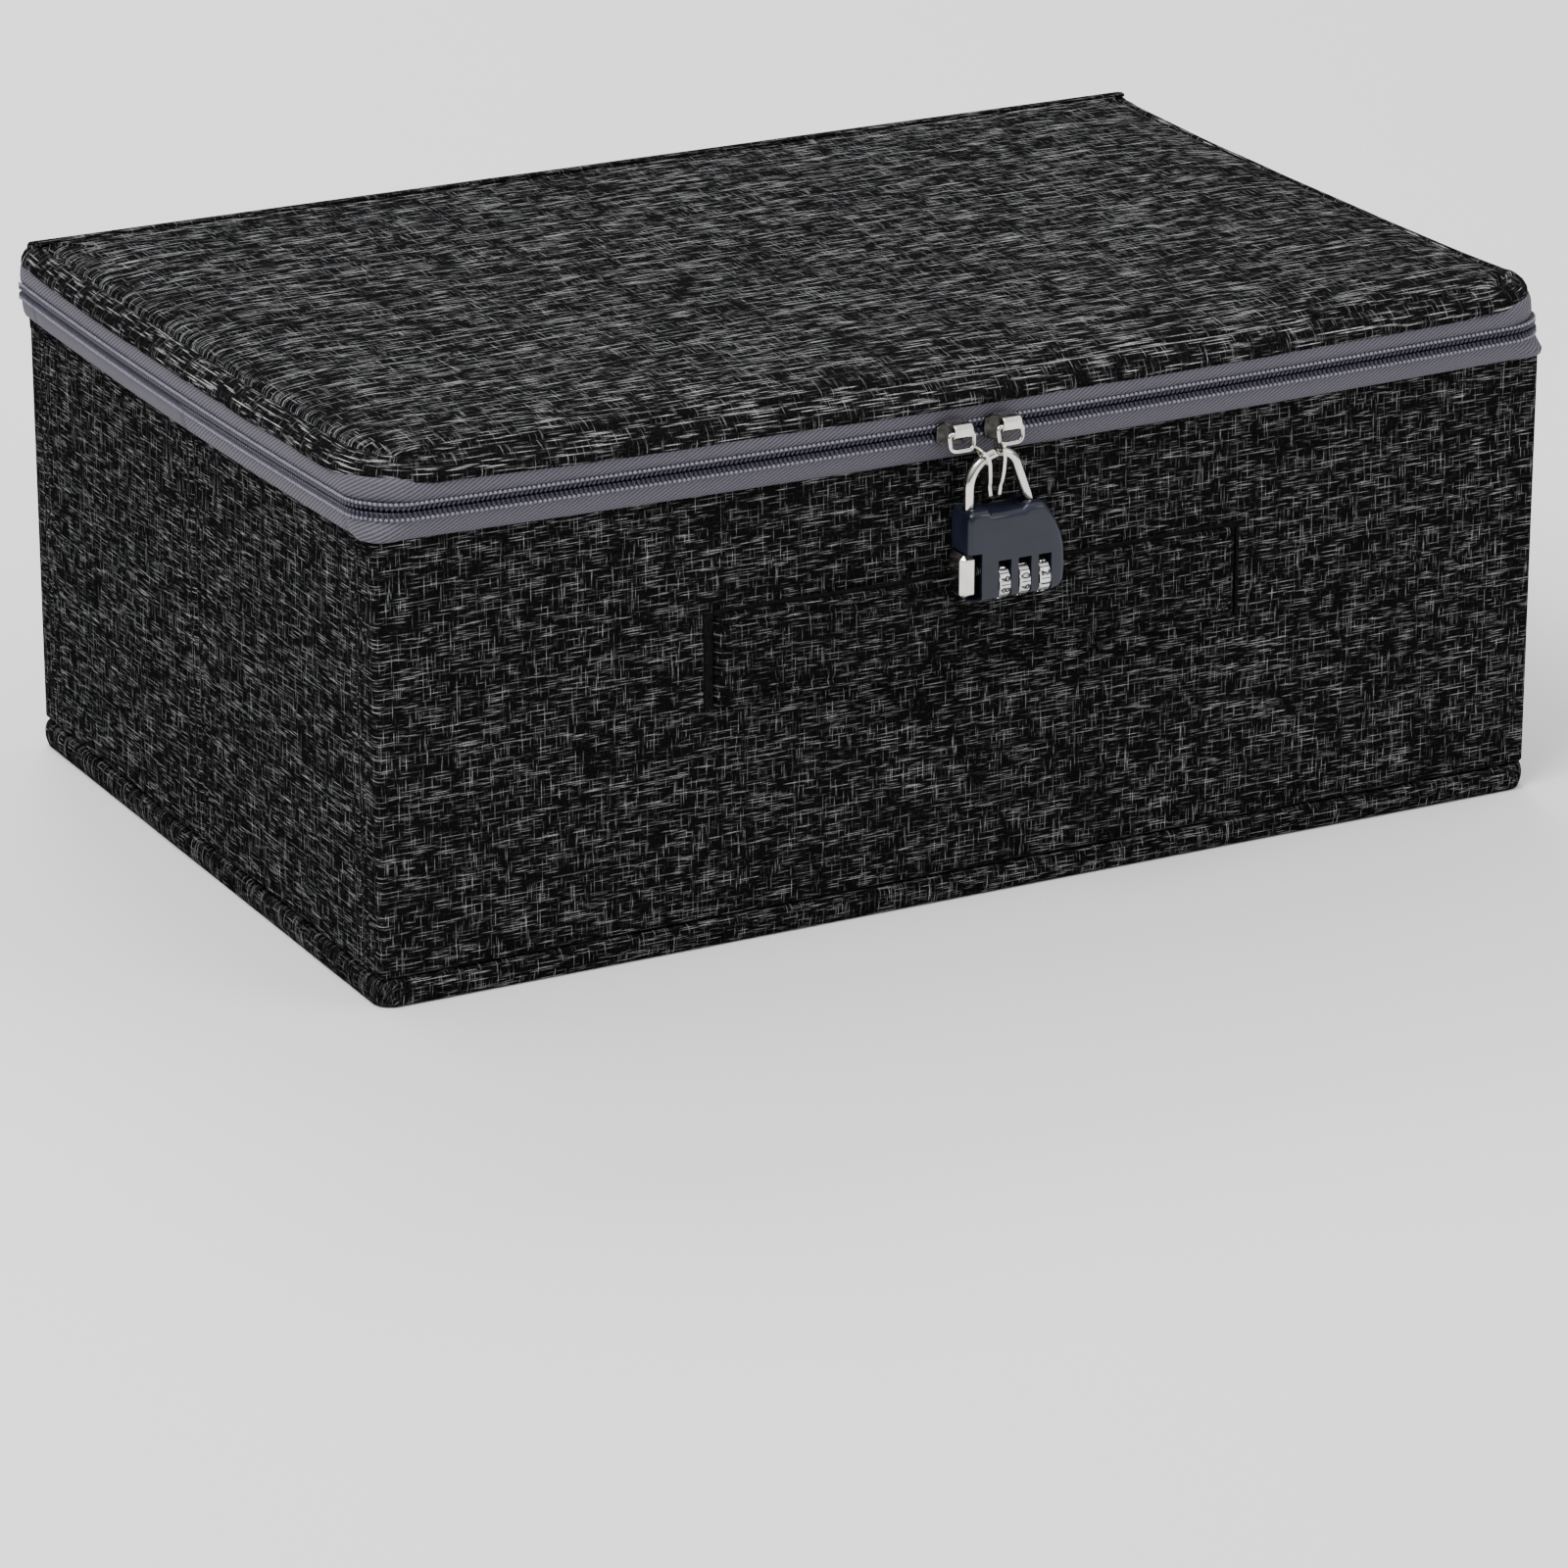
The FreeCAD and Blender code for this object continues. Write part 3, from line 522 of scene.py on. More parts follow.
def arc(centre, radius, start, end, steps=10):
    """Points on an arc in plan, each with the outward normal; angles in degrees."""
    points = []
    for i in range(steps + 1):
        angle = math.radians(start + (end - start) * i / steps)
        normal = Vector((math.cos(angle), math.sin(angle)))
        points.append((Vector(centre) + normal * radius, normal))
    return points


def join_path(*runs):
    """Runs put end to end without repeated points."""
    path = []
    for run in runs:
        for point, normal in run:
            if not path or (point - path[-1][0]).length > 1e-7:
                path.append((point, normal))
    return path


def u_path(half_x, half_y, end_y, radius, side=-1, step=4 * MM):
    """Path round the front (side -1) or the back (side 1), ending on the side walls at end_y."""
    y = side * half_y
    inner_x, inner_y = half_x - radius, y - side * radius
    if side < 0:
        runs = (straight((-half_x, end_y), (-half_x, inner_y), (-1, 0), step),
                arc((-inner_x, inner_y), radius, 180, 270),
                straight((-inner_x, y), (inner_x, y), (0, -1), step),
                arc((inner_x, inner_y), radius, 270, 360),
                straight((half_x, inner_y), (half_x, end_y), (1, 0), step))
    else:
        runs = (straight((half_x, end_y), (half_x, inner_y), (1, 0), step),
                arc((inner_x, inner_y), radius, 0, 90),
                straight((inner_x, y), (-inner_x, y), (0, 1), step),
                arc((-inner_x, inner_y), radius, 90, 180),
                straight((-half_x, inner_y), (-half_x, end_y), (-1, 0), step))
    return join_path(*runs)


def ring_path(half_x, front_y, back_y, front_r, back_r, step=4 * MM):
    """Closed plan of a rounded rectangle, counter-clockwise from above, without its last point."""
    runs = (straight((-half_x, back_y - back_r), (-half_x, front_y + front_r), (-1, 0), step),
            arc((-half_x + front_r, front_y + front_r), front_r, 180, 270),
            straight((-half_x + front_r, front_y), (half_x - front_r, front_y), (0, -1), step),
            arc((half_x - front_r, front_y + front_r), front_r, 270, 360),
            straight((half_x, front_y + front_r), (half_x, back_y - back_r), (1, 0), step),
            arc((half_x - back_r, back_y - back_r), back_r, 0, 90),
            straight((half_x - back_r, back_y), (-half_x + back_r, back_y), (0, 1), step),
            arc((-half_x + back_r, back_y - back_r), back_r, 90, 180))
    path = join_path(*runs)
    return path[:-1] if (path[0][0] - path[-1][0]).length < 1e-7 else path


def distances(path, closed=False):
    """Length along a path at each of its points."""
    total, out = 0.0, [0.0]
    for (a, _), (b, _) in zip(path, path[1:] + (path[:1] if closed else [])):
        total += (b - a).length
        out.append(total)
    return out


def sweep(name, path, section, shift=None):
    """A closed section of (out, z) points carried along a plan path, with UVs in metres.
    shift(point, normal, out, z) may return a changed (out, z)."""
    along = distances(path)
    around = [0.0]
    loop = section + section[:1]
    for (a, b), (c, d) in zip(loop, loop[1:]):
        around.append(around[-1] + math.hypot(c - a, d - b))
    verts = []
    for point, normal in path:
        for out, z in section:
            if shift:
                out, z = shift(point, normal, out, z)
            verts.append((point.x + normal.x * out, point.y + normal.y * out, z))
    n, m = len(path), len(section)
    faces, uvs = [], []
    for i in range(n - 1):
        k = i + 1
        for j in range(m):
            l = (j + 1) % m
            faces.append((i * m + j, k * m + j, k * m + l, i * m + l))
            uvs += [(along[i], around[j]), (along[i + 1], around[j]),
                    (along[i + 1], around[j + 1]), (along[i], around[j + 1])]
    for base, flip in ((0, False), ((n - 1) * m, True)):
        ends = [base + j for j in range(m)]
        faces.append(tuple(ends[::-1] if flip else ends))
        uvs += section[::-1] if flip else section
    return outward(mesh_from(name, verts, faces, uvs))


def fold(low, high, inner, outer, radius, rows=1):
    """Section of a folded cloth panel: a rectangle in (out, z) with rounded corners and rows on its face."""
    r = min(radius, (outer - inner) / 2.01, (high - low) / 2.01)
    corners = (((outer - r, low + r), -90), ((outer - r, high - r), 0),
               ((inner + r, high - r), 90), ((inner + r, low + r), 180))
    section = []
    for index, ((x, z), start) in enumerate(corners):
        for step in range(4):
            angle = math.radians(start + 30 * step)
            section.append((x + r * math.cos(angle), z + r * math.sin(angle)))
        if index == 0 and rows > 1:
            for k in range(1, rows):
                section.append((outer, low + r + (high - low - 2 * r) * k / rows))
    return section


def softness(x, y, z, scale=22.0):
    """Smooth unevenness from -1 to 1, the same every time."""
    return noise.noise(Vector((x * scale, y * scale, z * scale)) + Vector((4.1, 2.7, 9.3)))


def dip(point, amount):
    """How far the zip dips at a plan point: most in the middle of each side, nothing at corners."""
    x, y = abs(point.x) / HALF_X, abs(point.y) / HALF_Y
    if abs(point.y) > HALF_Y - 6 * MM and point.y < 0:
        return amount * max(0.0, 1 - x * x)
    if point.y > HALF_Y - 6 * MM:
        return 0.0
    return amount * max(0.0, 1 - y * y)


# ------------------------------------------------------------------ rows made with Geometry Nodes
def row_tree():
    """Tree that sets small rounded beads along a line: coil turns and stitches."""
    tree = bpy.data.node_groups.new("bead_row", "GeometryNodeTree")
    face = tree.interface
    face.new_socket("Line", in_out="INPUT", socket_type="NodeSocketGeometry")
    for name, default in (("Pitch", 1.5 * MM), ("Length", 0.6 * MM), ("Depth", 0.5 * MM),
                          ("Height", 0.5 * MM), ("Lean", 0.0)):
        socket = face.new_socket(name, in_out="INPUT", socket_type="NodeSocketFloat")
        socket.default_value = default
    face.new_socket("Finish", in_out="INPUT", socket_type="NodeSocketMaterial")
    face.new_socket("Row", in_out="OUTPUT", socket_type="NodeSocketGeometry")
    nodes, link = tree.nodes, tree.links.new
    start, end = nodes.new("NodeGroupInput"), nodes.new("NodeGroupOutput")
    curve = nodes.new("GeometryNodeMeshToCurve")
    link(start.outputs["Line"], curve.inputs["Mesh"])
    points = nodes.new("GeometryNodeResampleCurve")
    points.mode = "LENGTH"
    link(curve.outputs["Curve"], points.inputs["Curve"])
    link(start.outputs["Pitch"], points.inputs["Length"])
    bead = nodes.new("GeometryNodeMeshIcoSphere")
    bead.inputs["Radius"].default_value = 1.0
    bead.inputs["Subdivisions"].default_value = 2
    size = nodes.new("ShaderNodeCombineXYZ")
    for slot, name in enumerate(("Length", "Depth", "Height")):
        link(start.outputs[name], size.inputs[slot])
    lean = nodes.new("ShaderNodeCombineXYZ")
    link(start.outputs["Lean"], lean.inputs[1])
    shape = nodes.new("GeometryNodeTransform")
    link(bead.outputs["Mesh"], shape.inputs["Geometry"])
    link(size.outputs[0], shape.inputs["Scale"])
    tilt = nodes.new("GeometryNodeTransform")
    link(shape.outputs["Geometry"], tilt.inputs["Geometry"])
    link(lean.outputs[0], tilt.inputs["Rotation"])
    tangent = nodes.new("GeometryNodeInputTangent")
    turn = nodes.new("FunctionNodeAlignRotationToVector")
    turn.axis = "X"
    link(tangent.outputs["Tangent"], turn.inputs["Vector"])
    place = nodes.new("GeometryNodeInstanceOnPoints")
    link(points.outputs["Curve"], place.inputs["Points"])
    link(tilt.outputs["Geometry"], place.inputs["Instance"])
    link(turn.outputs["Rotation"], place.inputs["Rotation"])
    real = nodes.new("GeometryNodeRealizeInstances")
    link(place.outputs["Instances"], real.inputs["Geometry"])
    smooth = nodes.new("GeometryNodeSetShadeSmooth")
    link(real.outputs["Geometry"], smooth.inputs["Geometry"])
    paint = nodes.new("GeometryNodeSetMaterial")
    link(smooth.outputs["Geometry"], paint.inputs["Geometry"])
    link(start.outputs["Finish"], paint.inputs["Material"])
    link(paint.outputs["Geometry"], end.inputs["Row"])
    return tree


STITCH = {"depth": 0.2 * MM, "height": 0.22 * MM}


def bead_row(name, lines, finish, **sizes):
    """Beads along one or more lines of 3-D points, as one plain mesh."""
    tree = bpy.data.node_groups.get("bead_row") or row_tree()
    verts, edges = [], []
    for line in lines:
        first = len(verts)
        verts += [tuple(p) for p in line]
        edges += [(first + i, first + i + 1) for i in range(len(line) - 1)]
    mesh = bpy.data.meshes.new(name)
    mesh.from_pydata(verts, edges, [])
    obj = bpy.data.objects.new(name, mesh)
    bpy.context.scene.collection.objects.link(obj)
    modifier = obj.modifiers.new("beads", "NODES")
    modifier.node_group = tree
    sockets = {item.name: item.identifier for item in tree.interface.items_tree
               if item.in_out == "INPUT"}
    for key, value in sizes.items():
        modifier[sockets[key.capitalize()]] = value
    modifier[sockets["Finish"]] = FINISHES[finish]
    return apply_modifiers(obj)


def line_on(path, out, z, amount=0.0):
    """A 3-D line on a plan path, standing off by out at height z, dipping with the zip."""
    return [Vector((p.x + n.x * out, p.y + n.y * out, z - dip(p, amount))) for p, n in path]


# ------------------------------------------------------------------ covers
def cover_shift(crown, wrinkle, low, high, ends):
    """Shape a wall's face: crowned, slightly uneven, with a sewn groove near each corner; the parts
    that turn round onto the side walls stay flat. ends limits the crown along X."""
    def change(point, normal, out, z):
        if out < -0.2 * MM or abs(normal.x) > 0.5:
            return out, z
        t = (z - low) / (high - low)
        rise = max(0.0, 4 * t * (1 - t)) ** 0.6
        a, b = ends
        s = min(max((point.x - a) / (b - a), 0), 1)
        out -= 0.55 * MM * math.exp(-((HALF_X - abs(point.x) - 5 * MM) / (0.9 * MM)) ** 2)
        side = max(0.0, 4 * s * (1 - s)) ** 0.5
        lift = crown * rise * side
        uneven = wrinkle * softness(point.x, point.y, z) * rise
        return out + lift + uneven * min(1, side * 3), z
    return change


def build_walls():
    """Covers and linings of the front, back and folding side walls."""
    cloth = settings().cloth
    low, high = WALL_LOW - 0.15 * MM, WALL_HIGH
    radius = 1.8 * MM
    for name, side in (("front", -1), ("back", 1)):
        path = u_path(HALF_X, HALF_Y, side * RETURN_Y, radius, side)
        section = fold(low, high, -2.5 * MM, 0.0, cloth.hem_round, rows=22)
        shape = cover_shift(cloth.crown, cloth.wrinkle, low, high, (-HALF_X, HALF_X))
        cover = add_object(f"{name}_wall_cover", sweep(name, path, section, shift=shape), "wall_cloth")
        settle(cover, name if side < 0 else "base", "cover_fabric", f"{name}_cover")
        inset = WALL_THICK - LINING_THICK
        path = u_path(HALF_X - inset, HALF_Y - inset, side * RETURN_Y, 1.0 * MM, side, step=8 * MM)
        section = fold(low, high, -LINING_THICK, 0.0, 0.3 * MM)
        lining = add_object(f"{name}_wall_lining", sweep(name + "_in", path, section), "lining")
        settle(lining, name if side < 0 else "base", "lining_cloth", f"{name}_lining")
    for name, (sx, sy) in HALVES.items():
        build_half(name, sx, sy, low, high, cloth)


def half_lift(cloth, low, high, y, x, z):
    """How far a folding wall's cloth stands out at a point, before its crease."""
    t = (z - low) / (high - low)
    rise = max(0.0, 4 * t * (1 - t)) ** 0.6
    side = math.sin(math.pi * min(1, abs(y) / RETURN_Y))
    side = max(0.0, side) ** 0.6
    return cloth.crown * 0.8 * rise * side + cloth.wrinkle * softness(x, y, z) * rise * min(1, side * 2)


def build_half(name, sx, sy, low, high, cloth):
    """One half of a folding side wall, with its edge rolled in at the crease."""
    near, far = 0.02 * MM * sy, RETURN_Y * sy - 0.1 * MM * sy
    path = straight((sx * HALF_X, near), (sx * HALF_X, far), (sx, 0), 3 * MM)

    def shape(point, normal, out, z):
        if out < -0.2 * MM:
            return out, z
        sink = 0.9 * MM * math.exp(-(abs(point.y) / (2.2 * MM)) ** 2)
        return out + half_lift(cloth, low, high, point.y, point.x, z) - sink, z

    inner = -(WALL_THICK - LINING_THICK)
    section = fold(low, high, inner, 0.0, cloth.hem_round, rows=22)
    cover = add_object(f"{name}_wall_cover", sweep(name, path, section, shift=shape), "wall_cloth")
    settle(cover, name, "cover_fabric", f"{name}_cover")
    path = straight((sx * (HALF_X + inner), near), (sx * (HALF_X + inner), far), (sx, 0), 8 * MM)
    section = fold(low, high, -LINING_THICK, 0.0, 0.3 * MM)
    lining = add_object(f"{name}_wall_lining", sweep(name + "_in", path, section), "lining")
    settle(lining, name, "lining_cloth", f"{name}_lining")


BRIDGES = {"left_crease_cloth": ("left_rear", "left_front", -1, 0),
           "right_crease_cloth": ("right_rear", "right_front", 1, 0),
           "left_rear_corner_cloth": ("base", "left_rear", -1, 1),
           "right_rear_corner_cloth": ("base", "right_rear", 1, 1),
           "left_front_corner_cloth": ("left_front", "front", -1, -1)}


def build_bridges():
    """Cloth that runs on across each crease and folding corner, sewn down on both sides."""
    cloth = settings().cloth
    low, high = WALL_LOW + 0.2 * MM, WALL_HIGH - 0.2 * MM
    wide = 4.6 * MM
    for name, (rear, fore, sx, at) in BRIDGES.items():
        middle = at * RETURN_Y
        path = straight((sx * HALF_X, middle + wide), (sx * HALF_X, middle - wide), (sx, 0), 0.5 * MM)

        def shape(point, normal, out, z, middle=middle, at=at):
            away = (point.y - middle) / wide
            lift = half_lift(cloth, low, high, point.y, point.x, z) if abs(point.y) < RETURN_Y else 0.0
            groove = (0.5 if at == 0 else 0.35) * MM * math.exp(-(away * wide / (0.8 * MM)) ** 2)
            return out + lift + 0.3 * MM * (1 - away ** 4) - 0.12 * MM - groove, z

        section = fold(low, high, -0.45 * MM, 0.0, 0.2 * MM, rows=22)
        strip = add_object(name, sweep(name, path, section, shift=shape), "wall_cloth")
        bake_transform(strip)
        for body, side in ((rear, 1), (fore, -1)):
            y = middle + side * 2.6 * MM
            lift = 0.22 * MM
            line = [Vector((sx * (HALF_X + lift + (half_lift(cloth, low, high, y, sx * HALF_X, z)
                                                   if abs(y) < RETURN_Y else 0.0)), y, z))
                    for z in (low + (high - low) * k / 60 for k in range(1, 60))]
            if at == 0 or side == at:
                seam = bead_row(f"{name}_stitches_{body}", [line], "dark_thread", pitch=2.9 * MM,
                                length=1.1 * MM, **STITCH)
                settle(seam, body, "cover_fabric")


def rounded_slab(name, low, high, front_r, back_r, finish, edge):
    """A closed slab with a rounded plan and softened rims, made of nested rings."""
    half_x, (y0, y1), (z0, z1) = high[0], (low[1], high[1]), (low[2], high[2])
    profile = [(60 * MM, z0), (20 * MM, z0), (edge, z0), (edge * 0.3, z0 + edge * 0.3), (0.0, z0 + edge),
               (0.0, z1 - edge), (edge * 0.3, z1 - edge * 0.3), (edge, z1), (20 * MM, z1), (60 * MM, z1)]
    return nested(name, half_x, y0, y1, front_r, back_r, profile, finish)


def nested(name, half_x, y0, y1, front_r, back_r, profile, finish, shape=None, band=()):
    """Rings of a rounded rectangle, each inset and at its height, closed by a face at both ends.
    The cloth runs on flat over the rim, so its weave is not stretched there; on the profile's steps
    in band it is a strip that runs along the rim."""
    verts, flat = [], []
    run = [0.0]
    for (a, b), (c, d) in zip(profile, profile[1:]):
        run.append(run[-1] + math.hypot(c - a, d - b))
    base = ring_path(half_x, y0, y1, front_r, back_r)
    top = profile[-1][0]
    for index, (inset, z) in enumerate(profile):
        ring = inset_ring(base, half_x, y0, y1, inset)
        for point, normal in ring:
            x, y, height = point.x, point.y, z
            if shape:
                x, y, height = shape(point, normal, inset, z)
            verts.append((x, y, height))
            spare = (run[-1] - run[index]) - (top - inset)
            flat.append((point.x + normal.x * spare, point.y + normal.y * spare))
    count, faces, uvs = len(base), [], []
    along = distances(base, closed=True)
    for i in range(len(profile) - 1):
        for j in range(count):
            k = (j + 1) % count
            quad = (i * count + j, i * count + k, (i + 1) * count + k, (i + 1) * count + j)
            faces.append(quad)
            if i in band:
                uvs += [(along[j], run[i]), (along[j + 1], run[i]), (along[j + 1], run[i + 1]),
                        (along[j], run[i + 1])]
            else:
                uvs += [flat[v] for v in quad]
    for start, flip in ((0, True), ((len(profile) - 1) * count, False)):
        cap = [start + j for j in range(count)]
        cap = cap[::-1] if flip else cap
        faces.append(tuple(cap))
        uvs += [flat[v] for v in cap]
    return add_object(name, outward(mesh_from(name, verts, faces, uvs)), finish)


def inset_ring(base, half_x, y0, y1, inset):
    """The base ring moved inwards, corners closing to a point once the inset passes their radius."""
    ring = []
    for point, normal in base:
        moved = point - normal * inset
        x = min(max(moved.x, -half_x + inset), half_x - inset)
        y = min(max(moved.y, y0 + inset), y1 - inset)
        ring.append((Vector((x, y)), normal))
    return ring


TRAY_CORNER = 6.5 * MM


def build_base():
    """Fabric tray with its hem band, and the felt pad and lining in it."""
    x, y = HALF_X + TRAY_OUT, HALF_Y + TRAY_OUT
    e = 1.6 * MM
    top = TRAY_HIGH + 0.05 * MM
    profile = [(60 * MM, 0.0), (20 * MM, 0.0), (e, 0.0), (0.45 * MM, 0.45 * MM), (0.0, e),
               (-0.5 * MM, 3.5 * MM), (-0.6 * MM, 5.4 * MM), (-0.3 * MM, 7.0 * MM),
               (0.1 * MM, top - 1.1 * MM), (0.8 * MM, top - 0.7 * MM), (1.2 * MM, top - 0.6 * MM),
               (2.7 * MM, top - 0.5 * MM), (2.8 * MM, top - 1.2 * MM), (1.3 * MM, top - 1.4 * MM),
               (1.25 * MM, 3.0 * MM), (4 * MM, 1.3 * MM), (60 * MM, 1.2 * MM)]

    def shape(point, normal, inset, z):
        push = 0.25 * MM * softness(point.x, point.y, z, 40) if z > 1 * MM and inset < 1 * MM else 0.0
        return point.x + normal.x * push, point.y + normal.y * push, z

    tray = nested("base_tray_cloth", x, -y, y, TRAY_CORNER, TRAY_CORNER, profile, "wall_cloth", shape)
    settle(tray, "base", "cover_fabric", "base_cover")
    for node, piece, finish, slot in (("base_pad", "base_felt", "felt", "felt_pad"),
                                      ("base_lining", "base_lining_cloth", "lining", "lining_cloth")):
        low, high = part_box(node)
        inwards = Vector((3 * MM, 3 * MM, 0))
        slab = rounded_slab(piece, low + inwards, high - inwards, 3 * MM, 3 * MM, finish, edge=0.35 * MM)
        settle(slab, "base", slot, node)
    stitch = ring_path(x, -y, y, TRAY_CORNER, TRAY_CORNER)
    stitch.append(stitch[0])
    line = [Vector((p.x + n.x * 0.25 * MM, p.y + n.y * 0.25 * MM, TRAY_HIGH - 2.9 * MM)) for p, n in stitch]
    seam = bead_row("hem_stitches", [line], "dark_thread", pitch=3.2 * MM, length=1.25 * MM,
                    **STITCH)
    settle(seam, "base", "cover_fabric")


# ------------------------------------------------------------------ zip
LOWER_TAPE = ((-2.0, -1.2), (0.2, -1.5), (1.2, -1.1), (1.9, 0.3), (2.3, 2.4), (2.5, 4.9),
              (2.3, 5.4), (1.5, 5.4), (1.1, 3.0), (0.2, 1.1), (-2.0, 0.9))
UPPER_TAPE = ((2.3, -0.2), (2.6, 0.4), (2.8, 2.6), (2.5, 5.4), (1.9, 7.0), (0.4, 7.0), (0.8, 5.0),
              (1.3, 2.6), (1.5, -0.2))


def zip_section(points, base):
    """A zip tape's section in metres, standing on its lower line."""
    return [(out * MM, base + z * MM) for out, z in points]


def zip_shift(amount):
    """Let a zip piece dip along each side; the tape's foot flares out over the walls' sharp corners."""
    def change(point, normal, out, z):
        reach = max(0.0, 1 - max(0.0, z - WALL_HIGH) / (4.6 * MM)) if z < SPLIT - 2.7 * MM else 0.0
        flare = 3.9 * MM * (2 * normal.x * normal.y) ** 2 * reach
        return out + flare, z - dip(point, amount)
    return change


def zip_paths():
    """Plan path of the lower zip on each body."""
    front = u_path(HALF_X, HALF_Y, -RETURN_Y, HALF_Y - RETURN_Y)
    paths = {"front": [front]}
    paths["base"] = [straight((sx * HALF_X, RETURN_Y), (sx * HALF_X, ZIP_END), (sx, 0), 2 * MM)
                     for sx in (-1, 1)]
    for name, (sx, sy) in HALVES.items():
        paths[name] = [straight((sx * HALF_X, 0.02 * MM * sy), (sx * HALF_X, RETURN_Y * sy), (sx, 0), 4 * MM)]
    return paths


def joined(name, meshes, finish):
    """Several meshes as one piece."""
    work = bmesh.new()
    for mesh in meshes:
        work.from_mesh(mesh)
    mesh = bpy.data.meshes.new(name)
    work.to_mesh(mesh)
    work.free()
    return add_object(name, mesh, finish)


def build_tapes():
    """Woven tape of the lower zip on every wall and of the upper zip on the lid."""
    zipper = settings().zipper
    foot = WALL_HIGH
    for body, paths in zip_paths().items():
        section = zip_section(LOWER_TAPE, foot)
        meshes = [sweep(body, path, section, shift=zip_shift(zipper.bow)) for path in paths]
        tape = joined(f"{body}_zip_tape", meshes, "tape_cloth")
        node = "back_lower_tape" if body == "base" else f"{body}_lower_tape"
        settle(tape, body, "zip_tape", node)
    base = span("upper_tape", 2)[0]
    path = u_path(HALF_X, HALF_Y, ZIP_END, 15 * MM)
    tape = add_object("lid_zip_tape", sweep("lid_zip", path, zip_section(UPPER_TAPE, base),
                                            shift=zip_shift(zipper.bow)), "tape_cloth")
    settle(tape, "lid", "zip_tape", "upper_tape")


def build_coils():
    """Both coils as rows of turns on a cord, with a row of stitches beside each."""
    zipper = settings().zipper
    for body, paths in zip_paths().items():
        build_coil(body, paths, -1, zipper)
    build_coil("lid", [u_path(HALF_X, HALF_Y, ZIP_END, 13 * MM)], 1, zipper)


def build_coil(body, paths, side, zipper):
    """One body's half of the coil; side says whether it lies under or over the split."""
    node = {"lid": "upper_coil", "base": "back_lower_coil"}.get(body, f"{body}_lower_coil")
    cord = [(2.0, 0.25), (2.4, 0.55), (2.5, 1.3), (2.4, 2.3), (1.9, 2.6), (1.5, 2.3), (1.4, 1.3), (1.5, 0.5)]
    section = [(out * MM, SPLIT + side * z * MM) for out, z in cord]
    meshes = [sweep(body, path, section, shift=zip_shift(zipper.bow)) for path in paths]
    core = joined(f"{body}_coil_cord", meshes, "coil_nylon")
    settle(core, body, "zip_coil", node)
    lines = [line_on(path, 2.45 * MM, SPLIT + side * 1.22 * MM, zipper.bow) for path in paths]
    turns = bead_row(f"{body}_coil_turns", lines, "coil_nylon", pitch=zipper.pitch, length=zipper.tooth,
                     depth=0.95 * MM, height=1.3 * MM, lean=0.35 * side)
    settle(turns, body, "zip_coil")
    lines = [line_on(path, 3.0 * MM, SPLIT + side * 2.25 * MM, zipper.bow) for path in paths]
    thread = bead_row(f"{body}_coil_stitches", lines, "sewing_thread", pitch=zipper.pitch,
                      length=0.62 * MM, depth=0.45 * MM, height=0.55 * MM, lean=0.25)
    settle(thread, body, "zip_tape")


# ------------------------------------------------------------------ lid
LID_CORNER, LID_BACK_CORNER = 24 * MM, 5 * MM
LID_RIM_STEPS = range(4, 17)


def lid_profile():
    """Inset and height of the lid's cloth: its recess for the lining, its lip, its rolled edge, its top."""
    points = [(60, 1.75), (20, 1.75), (8.8, 1.75), (8.4, 1.0), (8.2, 0.0), (5.0, 0.6), (2.2, 0.3),
              (0.9, 0.4), (0.15, 1.2), (-0.1, 2.3), (0.15, 3.4), (0.9, 4.6), (2.2, 5.7),
              (3.8, 6.6), (5.2, 7.1), (6.2, 7.0), (6.9, 5.5), (7.8, 5.5), (8.5, 7.1), (9.6, 7.7),
              (11, 8.15), (14, 8.45), (20, 8.7), (30, 8.85), (44, 8.95), (60, 9.0), (80, 9.0),
              (104, 9.0), (126, 9.0)]
    return [(inset * MM, LID_FOOT + z * MM) for inset, z in points]


def build_lid():
    """Cloth cover of the lid with its rolled edge, and the pad and lining under it."""
    s = settings()

    def shape(point, normal, inset, z):
        rise = (z - LID_FOOT) / (LID_TOP - LID_FOOT)
        if point.y > LID_BACK - 12 * MM:
            lip = 0.0
        else:
            edge_point = Vector((max(-HALF_X, min(HALF_X, point.x * HALF_X / LID_X)), point.y))
            lip = dip_lid(edge_point, s.zipper.lip_bow) * max(0.0, 1 - inset / (30 * MM))
        wave = s.cloth.wrinkle * 1.6 * softness(point.x, point.y, 0.3, 14) * min(1, inset / (12 * MM))
        push = 0.5 * MM * softness(point.x, point.y, z, 30) if inset < 4 * MM else 0.0
        if rise < 0.25 and inset > 8.3 * MM:
            lip = wave = 0.0
        height = z - lip * (1.0 if rise < 0.4 else 1.0 - 0.35 * (rise - 0.4)) + wave
        height += back_lift(normal.y, inset, rise)
        return point.x + normal.x * push, point.y + normal.y * push, height

    cover = nested("lid_cloth_cover", LID_X, LID_FRONT, LID_BACK, LID_CORNER, LID_BACK_CORNER, lid_profile(),
                   "lid_cloth", shape, band=LID_RIM_STEPS)
    settle(cover, "lid", "cover_fabric", "lid_cover")
    for node, piece, finish, slot in (("lid_pad", "lid_felt", "felt", "felt_pad"),
                                      ("lid_board", "lid_stiff_board", "board", "stiff_board"),
                                      ("lid_lining", "lid_lining_cloth", "lining", "lining_cloth")):
        low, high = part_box(node)
        if node != "lid_lining":
            room = 3.2 * MM if node == "lid_pad" else 0.1 * MM
            low, high = low + Vector((0, 0, 0.1 * MM)), high - Vector((0, 0, room))
        slab = rounded_slab(piece, low, high, 16 * MM, 2 * MM, finish, edge=0.3 * MM)
        settle(slab, "lid", slot, node)


